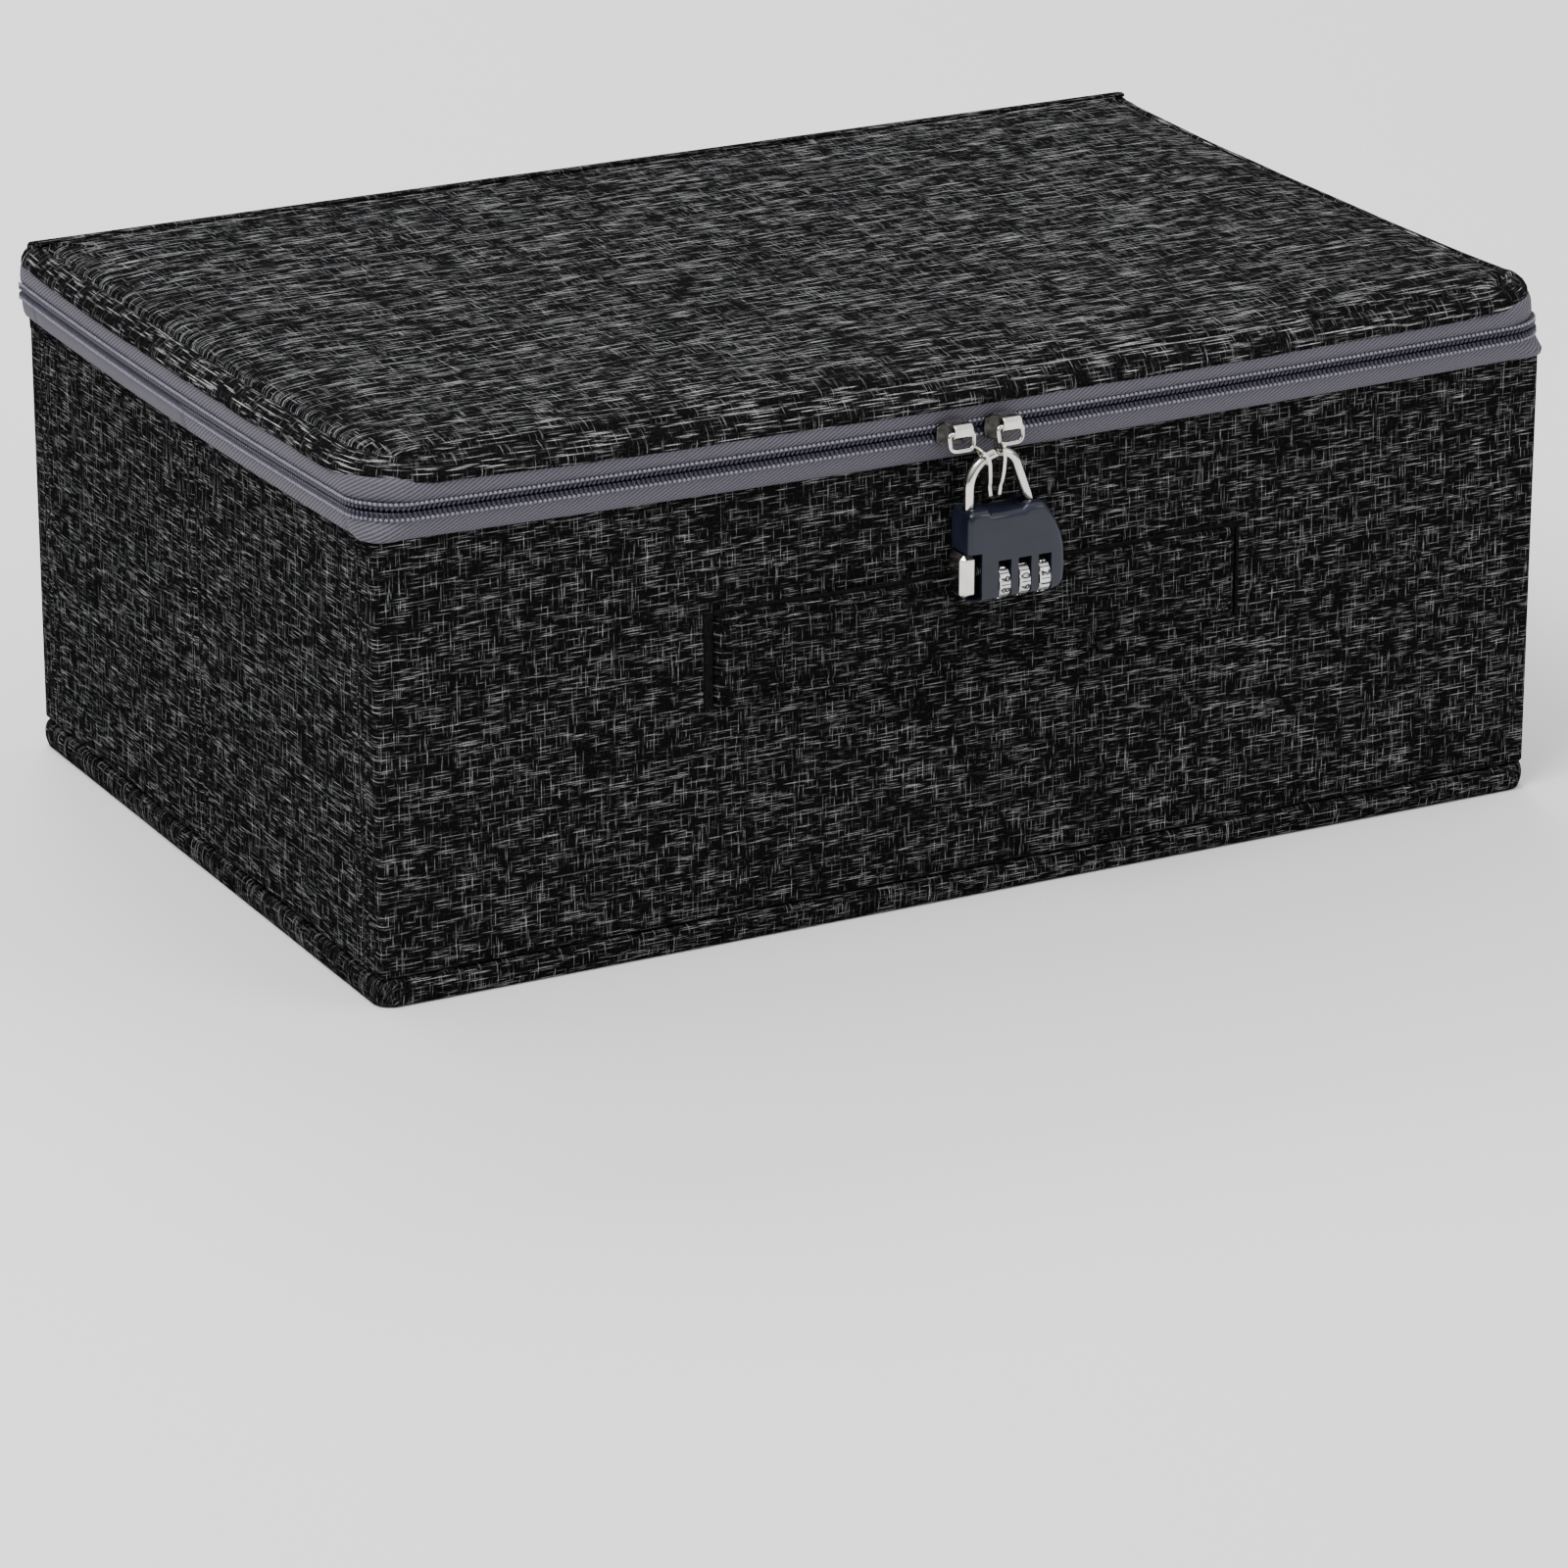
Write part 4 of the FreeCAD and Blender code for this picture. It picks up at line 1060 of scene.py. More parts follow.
def back_lift(facing, inset, rise):
    """How much fuller the rim is along the hinge edge than along the zip."""
    return 1.7 * MM * max(0.0, facing) * min(1, max(0.0, rise * 1.6)) * max(0.0, 1 - inset / (24 * MM))


def dip_lid(point, amount):
    """How far the lid's edge dips at a plan point."""
    x, y = abs(point.x) / HALF_X, abs(point.y) / HALF_Y
    if -point.y > HALF_Y - 20 * MM:
        return amount * max(0.0, 1 - x ** 2.4)
    return amount * 0.7 * max(0.0, 1 - min(1, y) ** 2.4)


def build_hinge():
    """Cloth strip that rises from the back wall and turns over onto the lid."""
    low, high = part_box("hinge_strip")
    y_wall, y_out = low.y, high.y
    x = HALF_X - 1 * MM
    foot = LID_FOOT
    line = [(y_wall + 0.1 * MM, low.z - 1 * MM), (y_out - 0.6 * MM, low.z),
            (y_out - 0.1 * MM, low.z + 3 * MM), (y_out, low.z + 10 * MM),
            (y_out, low.z + 18 * MM), (y_out - 0.1 * MM, foot + 4.2 * MM),
            (y_out - 0.9 * MM, foot + 6.6 * MM), (y_out - 2.6 * MM, foot + 7.8 * MM),
            (y_out - 5 * MM, foot + 8.6 * MM), (y_out - 7.5 * MM, foot + 9.0 * MM),
            (y_out - 9.2 * MM, foot + 8.7 * MM)]
    thick = 0.9 * MM
    inner = []
    for i, (y, z) in enumerate(line):
        a, b = line[max(0, i - 1)], line[min(len(line) - 1, i + 1)]
        tangent = Vector((b[0] - a[0], b[1] - a[1])).normalized()
        inner.append((y - tangent.y * thick, z + tangent.x * thick))
    section = [Vector(p) for p in line] + [Vector(p) for p in reversed(inner)]
    count = 100
    verts, uvs, faces = [], [], []
    run = [0.0]
    for a, b in zip(section, section[1:] + section[:1]):
        run.append(run[-1] + (b - a).length)
    for i in range(count + 1):
        px = -x + 2 * x * i / count
        for p in section:
            verts.append((px, p.x + 0.15 * MM * softness(px, p.x, p.y, 30), p.y))
    m = len(section)
    for i in range(count):
        for j in range(m):
            l = (j + 1) % m
            faces.append((i * m + j, (i + 1) * m + j, (i + 1) * m + l, i * m + l))
            u0, u1 = 2 * x * i / count, 2 * x * (i + 1) / count
            uvs += [(u0, run[j]), (u1, run[j]), (u1, run[j + 1]), (u0, run[j + 1])]
    for start, flip in ((0, False), (count * m, True)):
        cap = [start + j for j in range(m)]
        faces.append(tuple(cap[::-1] if flip else cap))
        uvs += [(p.x, p.y) for p in (section[::-1] if flip else section)]
    mesh = outward(mesh_from("hinge", verts, faces, uvs))
    strip = add_object("hinge_cloth", mesh, "wall_cloth")
    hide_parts("hinge_strip")
    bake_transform(strip)
    end_x, stitch_y = x - 3 * MM, y_out + 0.05 * MM
    rows = [[Vector((-end_x, stitch_y, z)), Vector((end_x, stitch_y, z))]
            for z in (low.z + 1.6 * MM, low.z + 5 * MM)]
    seam = bead_row("hinge_stitches", rows, "dark_thread", pitch=3.2 * MM, length=1.25 * MM,
                    **STITCH)
    settle(seam, "base", "cover_fabric")


# ------------------------------------------------------------------ handle
STRAP_END, STRAP_BULGE = 24 * MM, 3.4 * MM


def build_handle():
    """Flat strap with turned edges, doubled ends and box stitching."""
    low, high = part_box("handle_strap")
    y_wall = high.y
    crown = settings().cloth.crown
    count = 120
    zs = [low.z + (high.z - low.z) * k / 48 for k in range(49)]
    thick = high.y - low.y

    def rise(x):
        s = min(1, max(0, ((x - low.x) / (high.x - low.x) - 0.13) / 0.74))
        pressed = 1 - 0.85 * math.exp(-((x - 6 * MM) / (32 * MM)) ** 2)
        return STRAP_BULGE * math.sin(math.pi * s) ** 0.9 * pressed

    def height(x, t):
        lift = rise(x)
        edge = 0.7 * MM * (1 - min(1, min(t, 1 - t) / 0.08) ** 0.5)
        ridge = -0.9 * MM * math.exp(-((min(t, 1 - t) - 0.11) / 0.028) ** 2)
        doubled = 0.5 * MM if (x - low.x < STRAP_END or high.x - x < STRAP_END) else 0.0
        uneven = 0.25 * MM * softness(x, 0.4, t * 0.03, 60)
        body = thick * 1.25 + crown * 0.9 + lift + doubled + ridge + uneven
        return max(0.3 * MM, body - edge)

    verts, faces, uvs = [], [], []
    m = len(zs)
    for i in range(count + 1):
        x = low.x + (high.x - low.x) * i / count
        end = min(1, min(i, count - i) / 1.5) ** 0.5
        for k, z in enumerate(zs):
            verts.append((x, y_wall - max(0.3 * MM, height(x, k / (m - 1)) * end), z))
        for z in reversed(zs):
            verts.append((x, y_wall + 0.3 * MM - max(0, rise(x) - 0.3 * MM), z))
    ring = 2 * m
    for i in range(count):
        for j in range(ring):
            l = (j + 1) % ring
            quad = (i * ring + j, (i + 1) * ring + j, (i + 1) * ring + l, i * ring + l)
            faces.append(quad)
            uvs += [(verts[v][0], verts[v][2]) for v in quad]
    for start, flip in ((0, False), (count * ring, True)):
        cap = [start + j for j in range(ring)]
        cap = cap[::-1] if flip else cap
        faces.append(tuple(cap))
        uvs += [(verts[v][1], verts[v][2]) for v in cap]
    strap = add_object("strap_cloth_handle", outward(mesh_from("strap", verts, faces, uvs)), "strap_cloth")
    settle(strap, "front", "strap_fabric", "handle_strap", "handle_patches")

    # Near-black blocks at the strap's two ends: painted shade standing in for the dark slots the strap runs
    # into.
    slot_shade = bmesh.new()
    for edge, half in ((low.x - 1.5 * MM, 1.4 * MM), (high.x + 0.9 * MM, 0.7 * MM)):
        box_into(slot_shade, (edge - half, y_wall - 1.9 * MM, low.z - 0.6 * MM),
                 (edge + half, y_wall + 0.2 * MM, high.z + 0.6 * MM))
    slot_shade = add_object("handle_slot_binding", to_mesh(slot_shade, "slot_shade"), "dark_thread")
    settle(bevelled(slot_shade, 0.5 * MM, 3), "front", "strap_fabric")
    # Dark cords along the strap's upper and lower edges: painted shadow lines for the gap between strap and
    # wall.
    for name, z, radius in (("upper", high.z + 0.3 * MM, 0.95 * MM),
                            ("lower", low.z - 0.1 * MM, 0.55 * MM)):
        line = [Vector((x, y_wall - 1.1 * MM - 0.75 * rise(x), z))
                for x in (low.x + (high.x - low.x) * k / 60 for k in range(61))]
        cord = tube(f"handle_{name}_binding", line, radius, "dark_thread", sides=8)
        settle(cord, "front", "strap_fabric")

    def surface(x, z):
        t = (z - low.z) / (high.z - low.z)
        return Vector((x, y_wall - height(x, t) - 0.12 * MM, z))

    def run(a, b, steps=40):
        return [surface(a[0] + (b[0] - a[0]) * i / steps, a[1] + (b[1] - a[1]) * i / steps)
                for i in range(steps + 1)]

    inset = 3.2 * MM
    z0, z1 = low.z + inset, high.z - inset
    lines = [run((low.x + 2 * MM, z0), (high.x - 2 * MM, z0), 120),
             run((low.x + 2 * MM, z1), (high.x - 2 * MM, z1), 120)]
    for outer, inner in ((low.x + 2 * MM, low.x + STRAP_END - 1.5 * MM),
                         (high.x - 2 * MM, high.x - STRAP_END + 1.5 * MM)):
        lines += [run((outer, z0), (outer, z1)), run((inner, z0), (inner, z1)),
                  run((outer, z0), (inner, z1)), run((outer, z1), (inner, z0))]
    seam = bead_row("handle_stitches", lines, "dark_thread", pitch=2.6 * MM, length=1.05 * MM,
                    **STITCH)
    settle(seam, "front", "strap_fabric")


# ------------------------------------------------------------------ metal pieces
def bevelled(obj, width, segments=3, angle=30):
    """Round an object's sharp edges and keep flat faces flat."""
    bevel = obj.modifiers.new("rounding", "BEVEL")
    bevel.width, bevel.segments, bevel.limit_method = width, segments, "ANGLE"
    bevel.angle_limit = math.radians(angle)
    bevel.harden_normals = True
    return apply_modifiers(obj)


def box_into(work, low, high):
    """Add a plain box to a bmesh."""
    centre = (Vector(low) + Vector(high)) / 2
    scale = Vector(high) - Vector(low)
    matrix = Matrix.Translation(centre) @ Matrix.Diagonal((*scale, 1))
    bmesh.ops.create_cube(work, size=1.0, matrix=matrix)


def prism(name, outline, y0, y1):
    """A mesh from an outline in X and Z, drawn out along Y."""
    count = len(outline)
    verts = [(x, y0, z) for x, z in outline] + [(x, y1, z) for x, z in outline]
    faces = [tuple(range(count)), tuple(range(2 * count - 1, count - 1, -1))]
    faces += [(i, (i + 1) % count, count + (i + 1) % count, count + i) for i in range(count)]
    return outward(mesh_from(name, verts, faces))


def tube(name, points, radius, finish, closed=False, sides=14):
    """A round wire along smooth points, closed at its ends."""
    curve = bpy.data.curves.new(name, "CURVE")
    curve.dimensions = "3D"
    curve.bevel_depth, curve.bevel_resolution = radius, sides // 4
    curve.use_fill_caps = True
    spline = curve.splines.new("POLY")
    spline.points.add(len(points) - 1)
    for target, point in zip(spline.points, points):
        target.co = (*point, 1)
    spline.use_cyclic_u = closed
    holder = bpy.data.objects.new(name, curve)
    bpy.context.scene.collection.objects.link(holder)
    depsgraph = bpy.context.evaluated_depsgraph_get()
    mesh = bpy.data.meshes.new_from_object(holder.evaluated_get(depsgraph))
    bpy.data.objects.remove(holder)
    return add_object(name, mesh, finish)


def rounded_corners(points, radii, steps=10):
    """Points of a line whose inner corners are arcs of the given radii."""
    out = [Vector(points[0])]
    for before, corner, after, radius in zip(points, points[1:], points[2:], radii):
        corner = Vector(corner)
        a, b = (Vector(before) - corner).normalized(), (Vector(after) - corner).normalized()
        half = a.angle(b) / 2
        reach = radius / math.tan(half)
        middle = corner + (a + b).normalized() * (radius / math.sin(half))
        first = corner + a * reach - middle
        last = corner + b * reach - middle
        for i in range(steps + 1):
            out.append(middle + first.slerp(last, i / steps).normalized() * radius)
    out.append(Vector(points[-1]))
    return out


def bar_height():
    """Height of the bars that the pulls hang from, read from the CAD pulls' top edge."""
    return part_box("pull_left")[1].z - 1.6 * MM


def slider_middle(side):
    """Where a slider's crown is along the zip; the right one stands a little nearer the left."""
    low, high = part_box(f"slider_{side}")
    return (low.x + high.x) / 2 - (1.0 * MM if side == "right" else 0.0)


def build_sliders():
    """Zip sliders: a dark wedge-shaped body over the coil and a bright faceted crown."""
    for side, sign in (("left", -1), ("right", 1)):
        name = f"slider_{side}"
        middle = slider_middle(side)
        back, tip = -(HALF_Y + 3.6 * MM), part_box(name)[0].y
        face = back - 1.7 * MM
        z = SPLIT - settings().zipper.bow
        outline = [(-5.4, -2.2), (-3.6, -3.4), (2.2, -3.9), (5.4, -2.8), (5.9, 0.0), (5.4, 2.8),
                   (2.2, 3.9), (-3.6, 3.4), (-5.4, 2.2)]
        outline = [(middle - sign * px * MM, z + pz * MM) for px, pz in outline]
        body = add_object(f"{name}_body", prism(name + "_body", outline, face, back), "painted_shade_nickel")
        settle(bevelled(body, 0.4 * MM, 3), name, "polished_nickel", name)
        crown_foot = bar_height()
        half, bend = 3.1 * MM, 1.1 * MM
        profile = [(face + 0.2 * MM, crown_foot), (face + 0.2 * MM, crown_foot + 3.9 * MM),
                   (tip + bend, crown_foot + 3.9 * MM), (tip, crown_foot + 3.0 * MM),
                   (tip, crown_foot + 0.4 * MM), (tip + bend, crown_foot - 0.5 * MM),
                   (face - 0.8 * MM, crown_foot - 0.5 * MM)]
        count = len(profile)
        verts = [(middle + x, y, zz) for x in (-half, half) for y, zz in profile]
        faces = [tuple(range(count)), tuple(range(2 * count - 1, count - 1, -1))]
        faces += [(i, (i + 1) % count, count + (i + 1) % count, count + i) for i in range(count)]
        crown = add_object(f"{name}_crown_cap", outward(mesh_from(name + "_crown", verts, faces)), "nickel")
        settle(bevelled(crown, 0.3 * MM, 2), name, "polished_nickel")


def build_pulls():
    """Wire ring in the crown and the flat tab whose eye holds the shackle."""
    for side, sign in (("left", -1), ("right", 1)):
        name = f"pull_{side}"
        low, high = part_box(name)
        shackle_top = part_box("shackle")[1].z
        y = (low.y + high.y) / 2
        tab_x = high.x - 0.5 * MM if sign < 0 else low.x + 0.5 * MM
        middle = slider_middle(side)
        bar_z = bar_height() + 0.9 * MM
        hang, half = 5.2 * MM, 4.2 * MM
        foot, front = half * 0.92, y - 0.6 * MM
        ring_pts = [(middle, y, bar_z), (middle + half, y, bar_z), (middle + foot, front, bar_z - hang),
                    (middle - foot, front, bar_z - hang), (middle - half, y, bar_z), (middle, y, bar_z)]
        smooth = rounded_corners(ring_pts, (0.9 * MM, 2.0 * MM, 2.0 * MM, 0.9 * MM), 6)
        ring = tube(f"{name}_ring", smooth[:-1], 0.72 * MM, "nickel", closed=True)
        settle(ring, name, "polished_nickel")
        tab = pull_tab(name, middle - sign * half * 0.85, tab_x, y, bar_z - hang, sign, low.z, shackle_top)
        settle(tab, name, "polished_nickel", name)


def pull_tab(name, ring_x, tab_x, y, ring_z, sign, bottom, shackle_top):
    """A flat tab seen edge on: it hooks on the ring and reaches down inside the shackle."""
    rows = 18
    top = ring_z + 1.2 * MM
    width, thick, eye_radius = 6.6 * MM, 1.05 * MM, 2.25 * MM
    eye_z = shackle_top - 2.4 * MM
    profile, verts, faces = [], [], []
    for i in range(rows + 1):
        t = i / rows
        z = top + (bottom - top) * t
        settled = min(1, t / 0.35)
        x = ring_x + (tab_x - ring_x) * settled * (2 - settled) - sign * 1.3 * MM * t * t
        w = width * (0.62 + 0.38 * math.sin(math.pi * min(1, t * 1.15 + 0.12)) ** 0.5) / 2
        if i in (0, rows):
            w *= 0.72
        profile.append((x, z, w))
    for x, z, w in profile:
        for dx, dy in ((-1, -1), (1, -1), (1, 1), (-1, 1)):
            verts.append((x + dx * thick / 2, y + dy * w, z))
    for i in range(rows):
        for j in range(4):
            l = (j + 1) % 4
            faces.append((i * 4 + j, i * 4 + l, (i + 1) * 4 + l, (i + 1) * 4 + j))
    faces += [(3, 2, 1, 0), tuple(rows * 4 + j for j in range(4))]
    mesh = outward(mesh_from(name + "_tab", verts, faces))
    tab = add_object(f"{name}_tab", mesh, "nickel")
    subtract(tab, [round_cutter("eye_cutter", (tab_x, y, eye_z), eye_radius, 8 * MM, 28, along_x=True)])
    return bevelled(tab, 0.22 * MM, 2, 40)


def round_cutter(name, centre, radius, depth, segments, along_x=False):
    """A cylinder to cut with, upright or lying along X."""
    work = bmesh.new()
    matrix = Matrix.Translation(centre)
    if along_x:
        matrix = matrix @ Matrix.Rotation(math.pi / 2, 4, "Y")
    bmesh.ops.create_cone(work, cap_ends=True, segments=segments, radius1=radius, radius2=radius,
                          depth=depth, matrix=matrix)
    return to_mesh(work, name)


def box_cutter(name, low, high):
    """A box to cut with, or to shape further."""
    work = bmesh.new()
    box_into(work, low, high)
    return to_mesh(work, name)


def subtract(obj, cutters):
    """Cut meshes out of an object."""
    for index, mesh in enumerate(cutters):
        tool = bpy.data.objects.new(f"cutter_{index}", mesh)
        bpy.context.scene.collection.objects.link(tool)
        modifier = obj.modifiers.new("cut", "BOOLEAN")
        modifier.object, modifier.solver, modifier.operation = tool, "EXACT", "DIFFERENCE"
        apply_modifiers(obj)
        bpy.data.objects.remove(tool)
    return obj


SHACKLE_WIRE = 1.65 * MM


def shackle_legs():
    """X of the shackle's left and right leg, and their Y."""
    low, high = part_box("shackle")
    return low.x + 0.58 * MM + SHACKLE_WIRE, high.x - 0.7 * MM - SHACKLE_WIRE, (low.y + high.y) / 2


def build_shackle():
    """Bent wire of the padlock, one leg upright and one sloping."""
    low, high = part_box("shackle")
    left, right, y = shackle_legs()
    top = high.z - 0.55 * MM - SHACKLE_WIRE
    points = [(left, y, low.z), (left, y, top), (left + 14.5 * MM, y, top), (right, y, top - 15.4 * MM),
              (right, y, low.z)]
    smooth = rounded_corners(points, (10.2 * MM, 6.2 * MM, 7.0 * MM), 14)
    wire = tube("shackle_wire", smooth, SHACKLE_WIRE, "nickel", sides=24)
    settle(wire, "shackle", "polished_nickel", "shackle")


def case_outline():
    """The padlock case seen from the front, from its foot round to its shoulders."""
    low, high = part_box("lock_case_front")
    left, right, foot, top = low.x, high.x, low.z, high.z
    outline = [(left + 3.0 * MM, foot), (right - 5 * MM, foot), (right - 1.8 * MM, foot + 0.7 * MM),
               (right - 0.3 * MM, foot + 3.0 * MM), (right, foot + 7 * MM),
               (right - 0.2 * MM, top - 15 * MM), (right - 1.2 * MM, top - 10.5 * MM),
               (right - 3.2 * MM, top - 6.0 * MM), (right - 5.2 * MM, top - 2.6 * MM),
               (right - 6.8 * MM, top - 0.7 * MM), (right - 8.2 * MM, top), (right - 13.2 * MM, top),
               (right - 14.6 * MM, top - 1.3 * MM), (left + 8.2 * MM, top - 1.3 * MM),
               (left + 7.0 * MM, top), (left + 2.0 * MM, top), (left + 0.6 * MM, top - 1.0 * MM),
               (left, top - 3.2 * MM), (left, foot + 1.6 * MM), (left + 1.2 * MM, foot + 0.3 * MM)]
    return outline


def build_lock_case():
    """Two case halves with a seam between them, slots for the dials and holes for the shackle."""
    low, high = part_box("lock_case_front")[0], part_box("lock_case_back")[1]
    seam = span("lock_case_front", 1)[1]
    tools = case_tools(low, high)
    for node, y0, y1 in (("lock_case_front", low.y, seam), ("lock_case_back", seam, high.y)):
        case = add_object(node + "_shell", prism(node, case_outline(), y0, y1), "lock_paint")
        rim = y0 if node.endswith("front") else y1
        soften_rim(case, rim)
        subtract(case, [mesh.copy() for mesh in tools])
        bevelled(case, 0.22 * MM, 2, 35)
        settle(case, "lock_case", "lock_paint", node)


def soften_rim(case, rim):
    """Round the case's outer edge with a wide bevel."""
    work = bmesh.new()
    work.from_mesh(case.data)
    edges = [e for e in work.edges if all(abs(v.co.y - rim) < 1e-6 for v in e.verts)]
    bmesh.ops.bevel(work, geom=edges, offset=2.3 * MM, segments=6, profile=0.5, clamp_overlap=True,
                    affect="EDGES")
    work.to_mesh(case.data)
    work.free()


CASE_SKIN = 1.1 * MM


def case_tools(low, high):
    """Cutting shapes: a slot for each dial, the button's bay and the two shackle holes."""
    tools = []
    for n in (1, 2, 3):
        a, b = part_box(f"dial_{n}")
        centre = (a + b) / 2
        radius = (b.z - a.z) / 2 + 0.5 * MM
        width = (b.x - a.x) / 2 + 0.35 * MM
        tools.append(box_cutter(f"dial_slot_{n}", (centre.x - width, low.y - 1 * MM, low.z - 2 * MM),
                                (centre.x + width, centre.y + radius + 0.3 * MM,
                                 centre.z + radius + 1.4 * MM)))
    a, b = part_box("lock_button")
    bay_foot, bay_top, bay_back = a.z - 0.3 * MM, b.z + 0.5 * MM, b.y + 0.2 * MM
    tools.append(box_cutter("button_bay", (a.x - 1 * MM, low.y - 1 * MM, bay_foot),
                            (b.x + 0.4 * MM, bay_back, bay_top)))
    tools.append(box_cutter("button_travel", (b.x, low.y + CASE_SKIN, bay_foot),
                            (b.x + 2.6 * MM, bay_back, bay_top)))
    left, right, y = shackle_legs()
    tools.append(round_cutter("left_hole", (left, y, high.z), 2.1 * MM, 14 * MM, 32))
    tools.append(box_cutter("right_slot", (right - 3.4 * MM, y - 2.0 * MM, high.z - 6 * MM),
                            (right + 3.2 * MM, y + 2.0 * MM, high.z + 3 * MM)))
    return tools


def to_mesh(work, name):
    """Finish a bmesh as a mesh."""
    mesh = bpy.data.meshes.new(name)
    work.to_mesh(mesh)
    work.free()
    return mesh


def build_button():
    """Polished release button with faceted sides."""
    low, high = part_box("lock_button")
    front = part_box("lock_case_front")[0].y + CASE_SKIN + 0.3 * MM
    button = add_object("lock_button_cap", box_cutter("button", (low.x, front, low.z), high), "nickel")
    bevel = button.modifiers.new("facet", "BEVEL")
    bevel.width, bevel.segments = 1.5 * MM, 1
    apply_modifiers(button)
    spring_low, spring_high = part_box("button_spring")
    middle = (spring_low + spring_high) / 2
    radius = (spring_high.z - spring_low.z) / 2 + 0.3 * MM
    subtract(button, [round_cutter("spring_well", (high.x + 0.2 * MM, middle.y, middle.z), radius,
                                   6 * MM, 24, along_x=True)])
    bevelled(button, 0.25 * MM, 2, 20)
    settle(button, "lock_button", "polished_nickel", "lock_button")


def build_dials():
    """Number wheels: a knurled rim with ten numerals and a notch between each two."""
    metal = settings().metal
    for n in (1, 2, 3):
        low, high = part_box(f"dial_{n}")
        centre = (low + high) / 2
        radius = (high.z - low.z) / 2
        wheel(n, centre, radius, (high.x - low.x) / 2, metal)


def wheel(n, centre, radius, half, metal):
    """One wheel and its numerals."""
    segments = 80
    bore = 1.3 * MM
    profile = [(-half, bore), (-half, radius - 0.35 * MM), (-half + 0.3 * MM, radius),
               (half - 0.3 * MM, radius), (half, radius - 0.35 * MM), (half, bore)]
    verts, faces = [], []
    for i in range(segments):
        angle = 2 * math.pi * i / segments
        ridge = 1.0 - (0.045 if i % 8 == 0 else 0.0)
        for x, r in profile:
            rr = r * ridge if r > bore * 1.5 else r
            verts.append((centre.x + x, centre.y + rr * math.sin(angle), centre.z + rr * math.cos(angle)))
    m = len(profile)
    for i in range(segments):
        k = (i + 1) % segments
        for j in range(m):
            l = (j + 1) % m
            faces.append((i * m + j, k * m + j, k * m + l, i * m + l))
    mesh = outward(mesh_from(f"wheel_{n}", verts, faces))
    ring = add_object(f"dial_{n}_wheel", mesh, "dial_metal", smooth=False)
    settle(ring, f"dial_{n}", "dial_metal", f"dial_{n}")
    numerals(n, centre, radius, metal)


def numerals(n, centre, radius, metal):
    """The numerals 0 to 9 wrapped round a wheel, standing on its axis line."""
    work = bmesh.new()
    start = (7, 8, 0)[n - 1]
    for k in range(10):
        text = bpy.data.curves.new("numeral", "FONT")
        text.body = str((start + k) % 10)
        text.size, text.align_x, text.align_y = metal.numeral * 1.62, "CENTER", "CENTER"
        text.extrude = 0.06 * MM
        text.offset = 0.02 * MM
        text.resolution_u = 4
        holder = bpy.data.objects.new("numeral", text)
        bpy.context.scene.collection.objects.link(holder)
        depsgraph = bpy.context.evaluated_depsgraph_get()
        mesh = bpy.data.meshes.new_from_object(holder.evaluated_get(depsgraph))
        bpy.data.objects.remove(holder)
        middle = math.radians(-90 - 18 + 36 * (k - 1))
        for vertex in mesh.vertices:
            across, around, up = vertex.co.y, vertex.co.x, vertex.co.z
            angle = middle - around / radius
            r = radius + 0.02 * MM + up
            vertex.co = (centre.x + across, centre.y + r * math.sin(angle), centre.z + r * math.cos(angle))
        work.from_mesh(mesh)
        bpy.data.meshes.remove(mesh)
        divider(work, centre, radius, middle - math.radians(18))
    bmesh.ops.recalc_face_normals(work, faces=work.faces)
    marks = add_object(f"dial_{n}_numerals", to_mesh(work, f"numerals_{n}"), "numeral_ink", smooth=False)
    settle(marks, f"dial_{n}", "dial_metal")


def divider(work, centre, radius, angle):
    """A fine line across the wheel between two numerals."""
    first = len(work.verts)
    bmesh.ops.create_cube(work, size=1.0)
    work.verts.ensure_lookup_table()
    for vertex in work.verts[first:]:
        turn = angle + vertex.co.y * 0.3 * MM / radius
        r = radius + 0.02 * MM + vertex.co.z * 0.08 * MM
        vertex.co = (centre.x + vertex.co.x * 3.0 * MM, centre.y + r * math.sin(turn),
                     centre.z + r * math.cos(turn))


CARRIED = {"base_board": "board", "back_board": "board", "front_board": "board",
           "left_rear_board": "board", "left_front_board": "board", "right_rear_board": "board",
           "right_front_board": "board", "dial_spindle": "plain_steel", "button_spring": "plain_steel",
           "lock_latch": "plain_steel", "shackle_pin": "plain_steel"}


def finish_carried():
    """Give the CAD pieces that stay their finish."""
    for node, finish in CARRIED.items():
        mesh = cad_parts[node].data
        mesh.materials.clear()
        mesh.materials.append(FINISHES[finish])


# ------------------------------------------------------------------ stage
def aim(obj, target):
    """Turn a light towards a point."""
    obj.rotation_euler = (Vector(target) - obj.location).to_track_quat("-Z", "Y").to_euler()


def area_light(name, place, size, power, target=(0, 0, 0.08)):
    """A soft rectangular light."""
    light = bpy.data.lights.new(name, "AREA")
    light.shape, light.size, light.size_y = "RECTANGLE", size[0], size[1]
    light.energy = power
    obj = bpy.data.objects.new(name, light)
    obj.location = place
    bpy.context.scene.collection.objects.link(obj)
    aim(obj, target)
    return obj


HORIZON_LIGHT, SKY_LIGHT = 0.12, 1.25
FILL_SHARE, BACK_SHARE = 0.22, 0.7


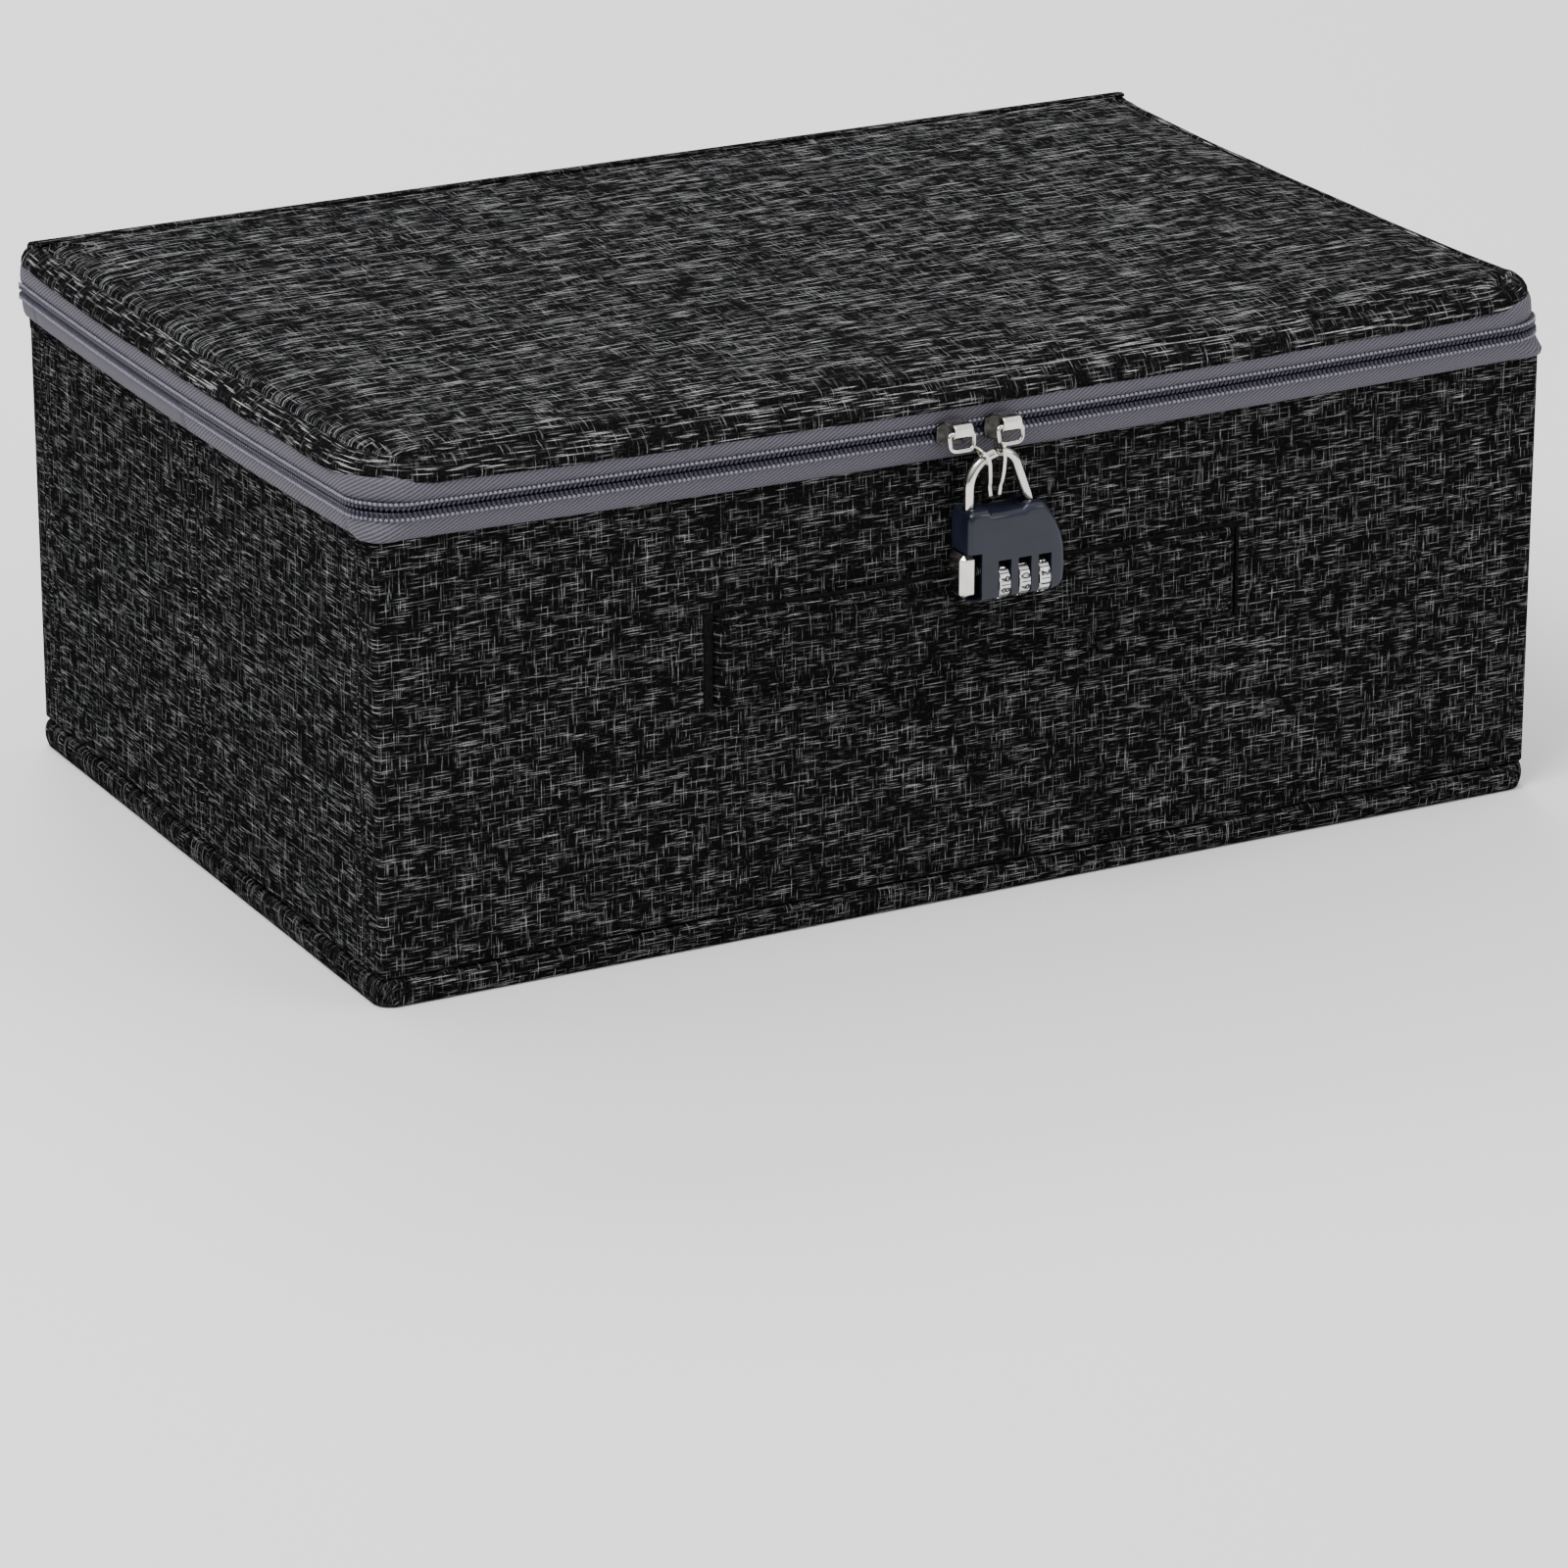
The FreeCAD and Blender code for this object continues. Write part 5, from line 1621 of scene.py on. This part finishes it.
def build_stage():
    """Pale floor that runs up into a wall, soft lights and the camera."""
    stage = settings().stage
    mesh = mesh_from("floor", [(-9, -9, 0), (9, -9, 0), (9, 9, 0), (-9, 9, 0)], [(0, 1, 2, 3)])
    floor = add_object("floor", mesh, "floor", smooth=False)
    world = bpy.data.worlds.new("studio")
    world.use_nodes = True
    tree = Tree(world.node_tree)
    split = tree.add("ShaderNodeSeparateXYZ")
    tree.link(tree.add("ShaderNodeTexCoord").outputs["Generated"], split.inputs[0])
    background = world.node_tree.nodes["Background"]
    background.inputs["Color"].default_value = (1, 1, 1, 1)
    tree.link(tree.ramp(split.outputs[2], 0.0, 0.85, HORIZON_LIGHT, SKY_LIGHT), background.inputs["Strength"])
    bpy.context.scene.world = world
    area_light("key_light", (-1.15, -0.6, 2.1), (1.1, 1.1), stage.key)
    area_light("fill_light", (1.5, -1.7, 0.9), (0.9, 0.9), stage.key * FILL_SHARE)
    area_light("back_light", (0.3, 1.8, 1.7), (1.6, 0.8), stage.key * BACK_SHARE)
    lens = bpy.data.cameras.new("camera")
    lens.lens, lens.sensor_width, lens.clip_end = stage.lens, 36, 50
    camera = bpy.data.objects.new("camera", lens)
    camera.location = stage.camera
    camera.rotation_euler = (math.radians(90 - stage.tilt), 0, -math.radians(stage.heading))
    bpy.context.scene.collection.objects.link(camera)
    bpy.context.scene.camera = camera


# ------------------------------------------------------------------ operators
def operator(idname, label, text, work):
    """An operator class that runs one builder."""
    def execute(self, context):
        work()
        return {"FINISHED"}
    return type("DOCBOX_OT_" + idname, (bpy.types.Operator,), {
        "__doc__": text, "bl_idname": "docbox." + idname, "bl_label": label,
        "bl_options": {"REGISTER", "UNDO"}, "execute": execute})


OPERATORS = [
    operator("finishes", "Finishes", "Make every material of the box", make_finishes),
    operator("base", "Base tray", "Make the cloth tray, pad and lining", build_base),
    operator("walls", "Walls", "Make the covers and linings of the walls", build_walls),
    operator("bridges", "Crease cloth", "Make the cloth across the creases and corners", build_bridges),
    operator("tapes", "Zip tapes", "Make the woven zip tapes", build_tapes),
    operator("coils", "Zip coils", "Make the coil turns and their stitches", build_coils),
    operator("lid", "Lid", "Make the lid's cloth, pad, board and lining", build_lid),
    operator("hinge", "Hinge strip", "Make the cloth strip between back wall and lid", build_hinge),
    operator("handle", "Handle", "Make the strap handle and its stitches", build_handle),
    operator("sliders", "Sliders", "Make the two zip sliders", build_sliders),
    operator("pulls", "Pulls", "Make the pull rings and tabs", build_pulls),
    operator("shackle", "Shackle", "Make the padlock's shackle", build_shackle),
    operator("lock_case", "Lock case", "Make the padlock's case", build_lock_case),
    operator("button", "Button", "Make the padlock's release button", build_button),
    operator("dials", "Dials", "Make the number wheels", build_dials),
    operator("carried", "Carried pieces", "Give the remaining pieces their finish", finish_carried),
    operator("stage", "Stage", "Make the floor, the lights and the camera", build_stage),
]


class DOCBOX_PT_panel(bpy.types.Panel):
    """Lists the builders in the 3D view's sidebar"""
    bl_label = "Document Box"
    bl_idname = "DOCBOX_PT_panel"
    bl_space_type = "VIEW_3D"
    bl_region_type = "UI"
    bl_category = "Document Box"

    def draw(self, context):
        for item in OPERATORS:
            self.layout.operator(item.bl_idname)


CLASSES = [*GROUPS.values(), DocumentBoxSettings, *OPERATORS, DOCBOX_PT_panel]


def register():
    for item in CLASSES:
        bpy.utils.register_class(item)
    bpy.types.Scene.document_box = PointerProperty(type=DocumentBoxSettings)


def unregister():
    del bpy.types.Scene.document_box
    for item in reversed(CLASSES):
        bpy.utils.unregister_class(item)


def main():
    """Register the add-on, run each builder in order and write the sizes."""
    register()
    for item in OPERATORS:
        group, name = item.bl_idname.split(".")
        getattr(getattr(bpy.ops, group), name)()


if __name__ == "__main__":
    main()
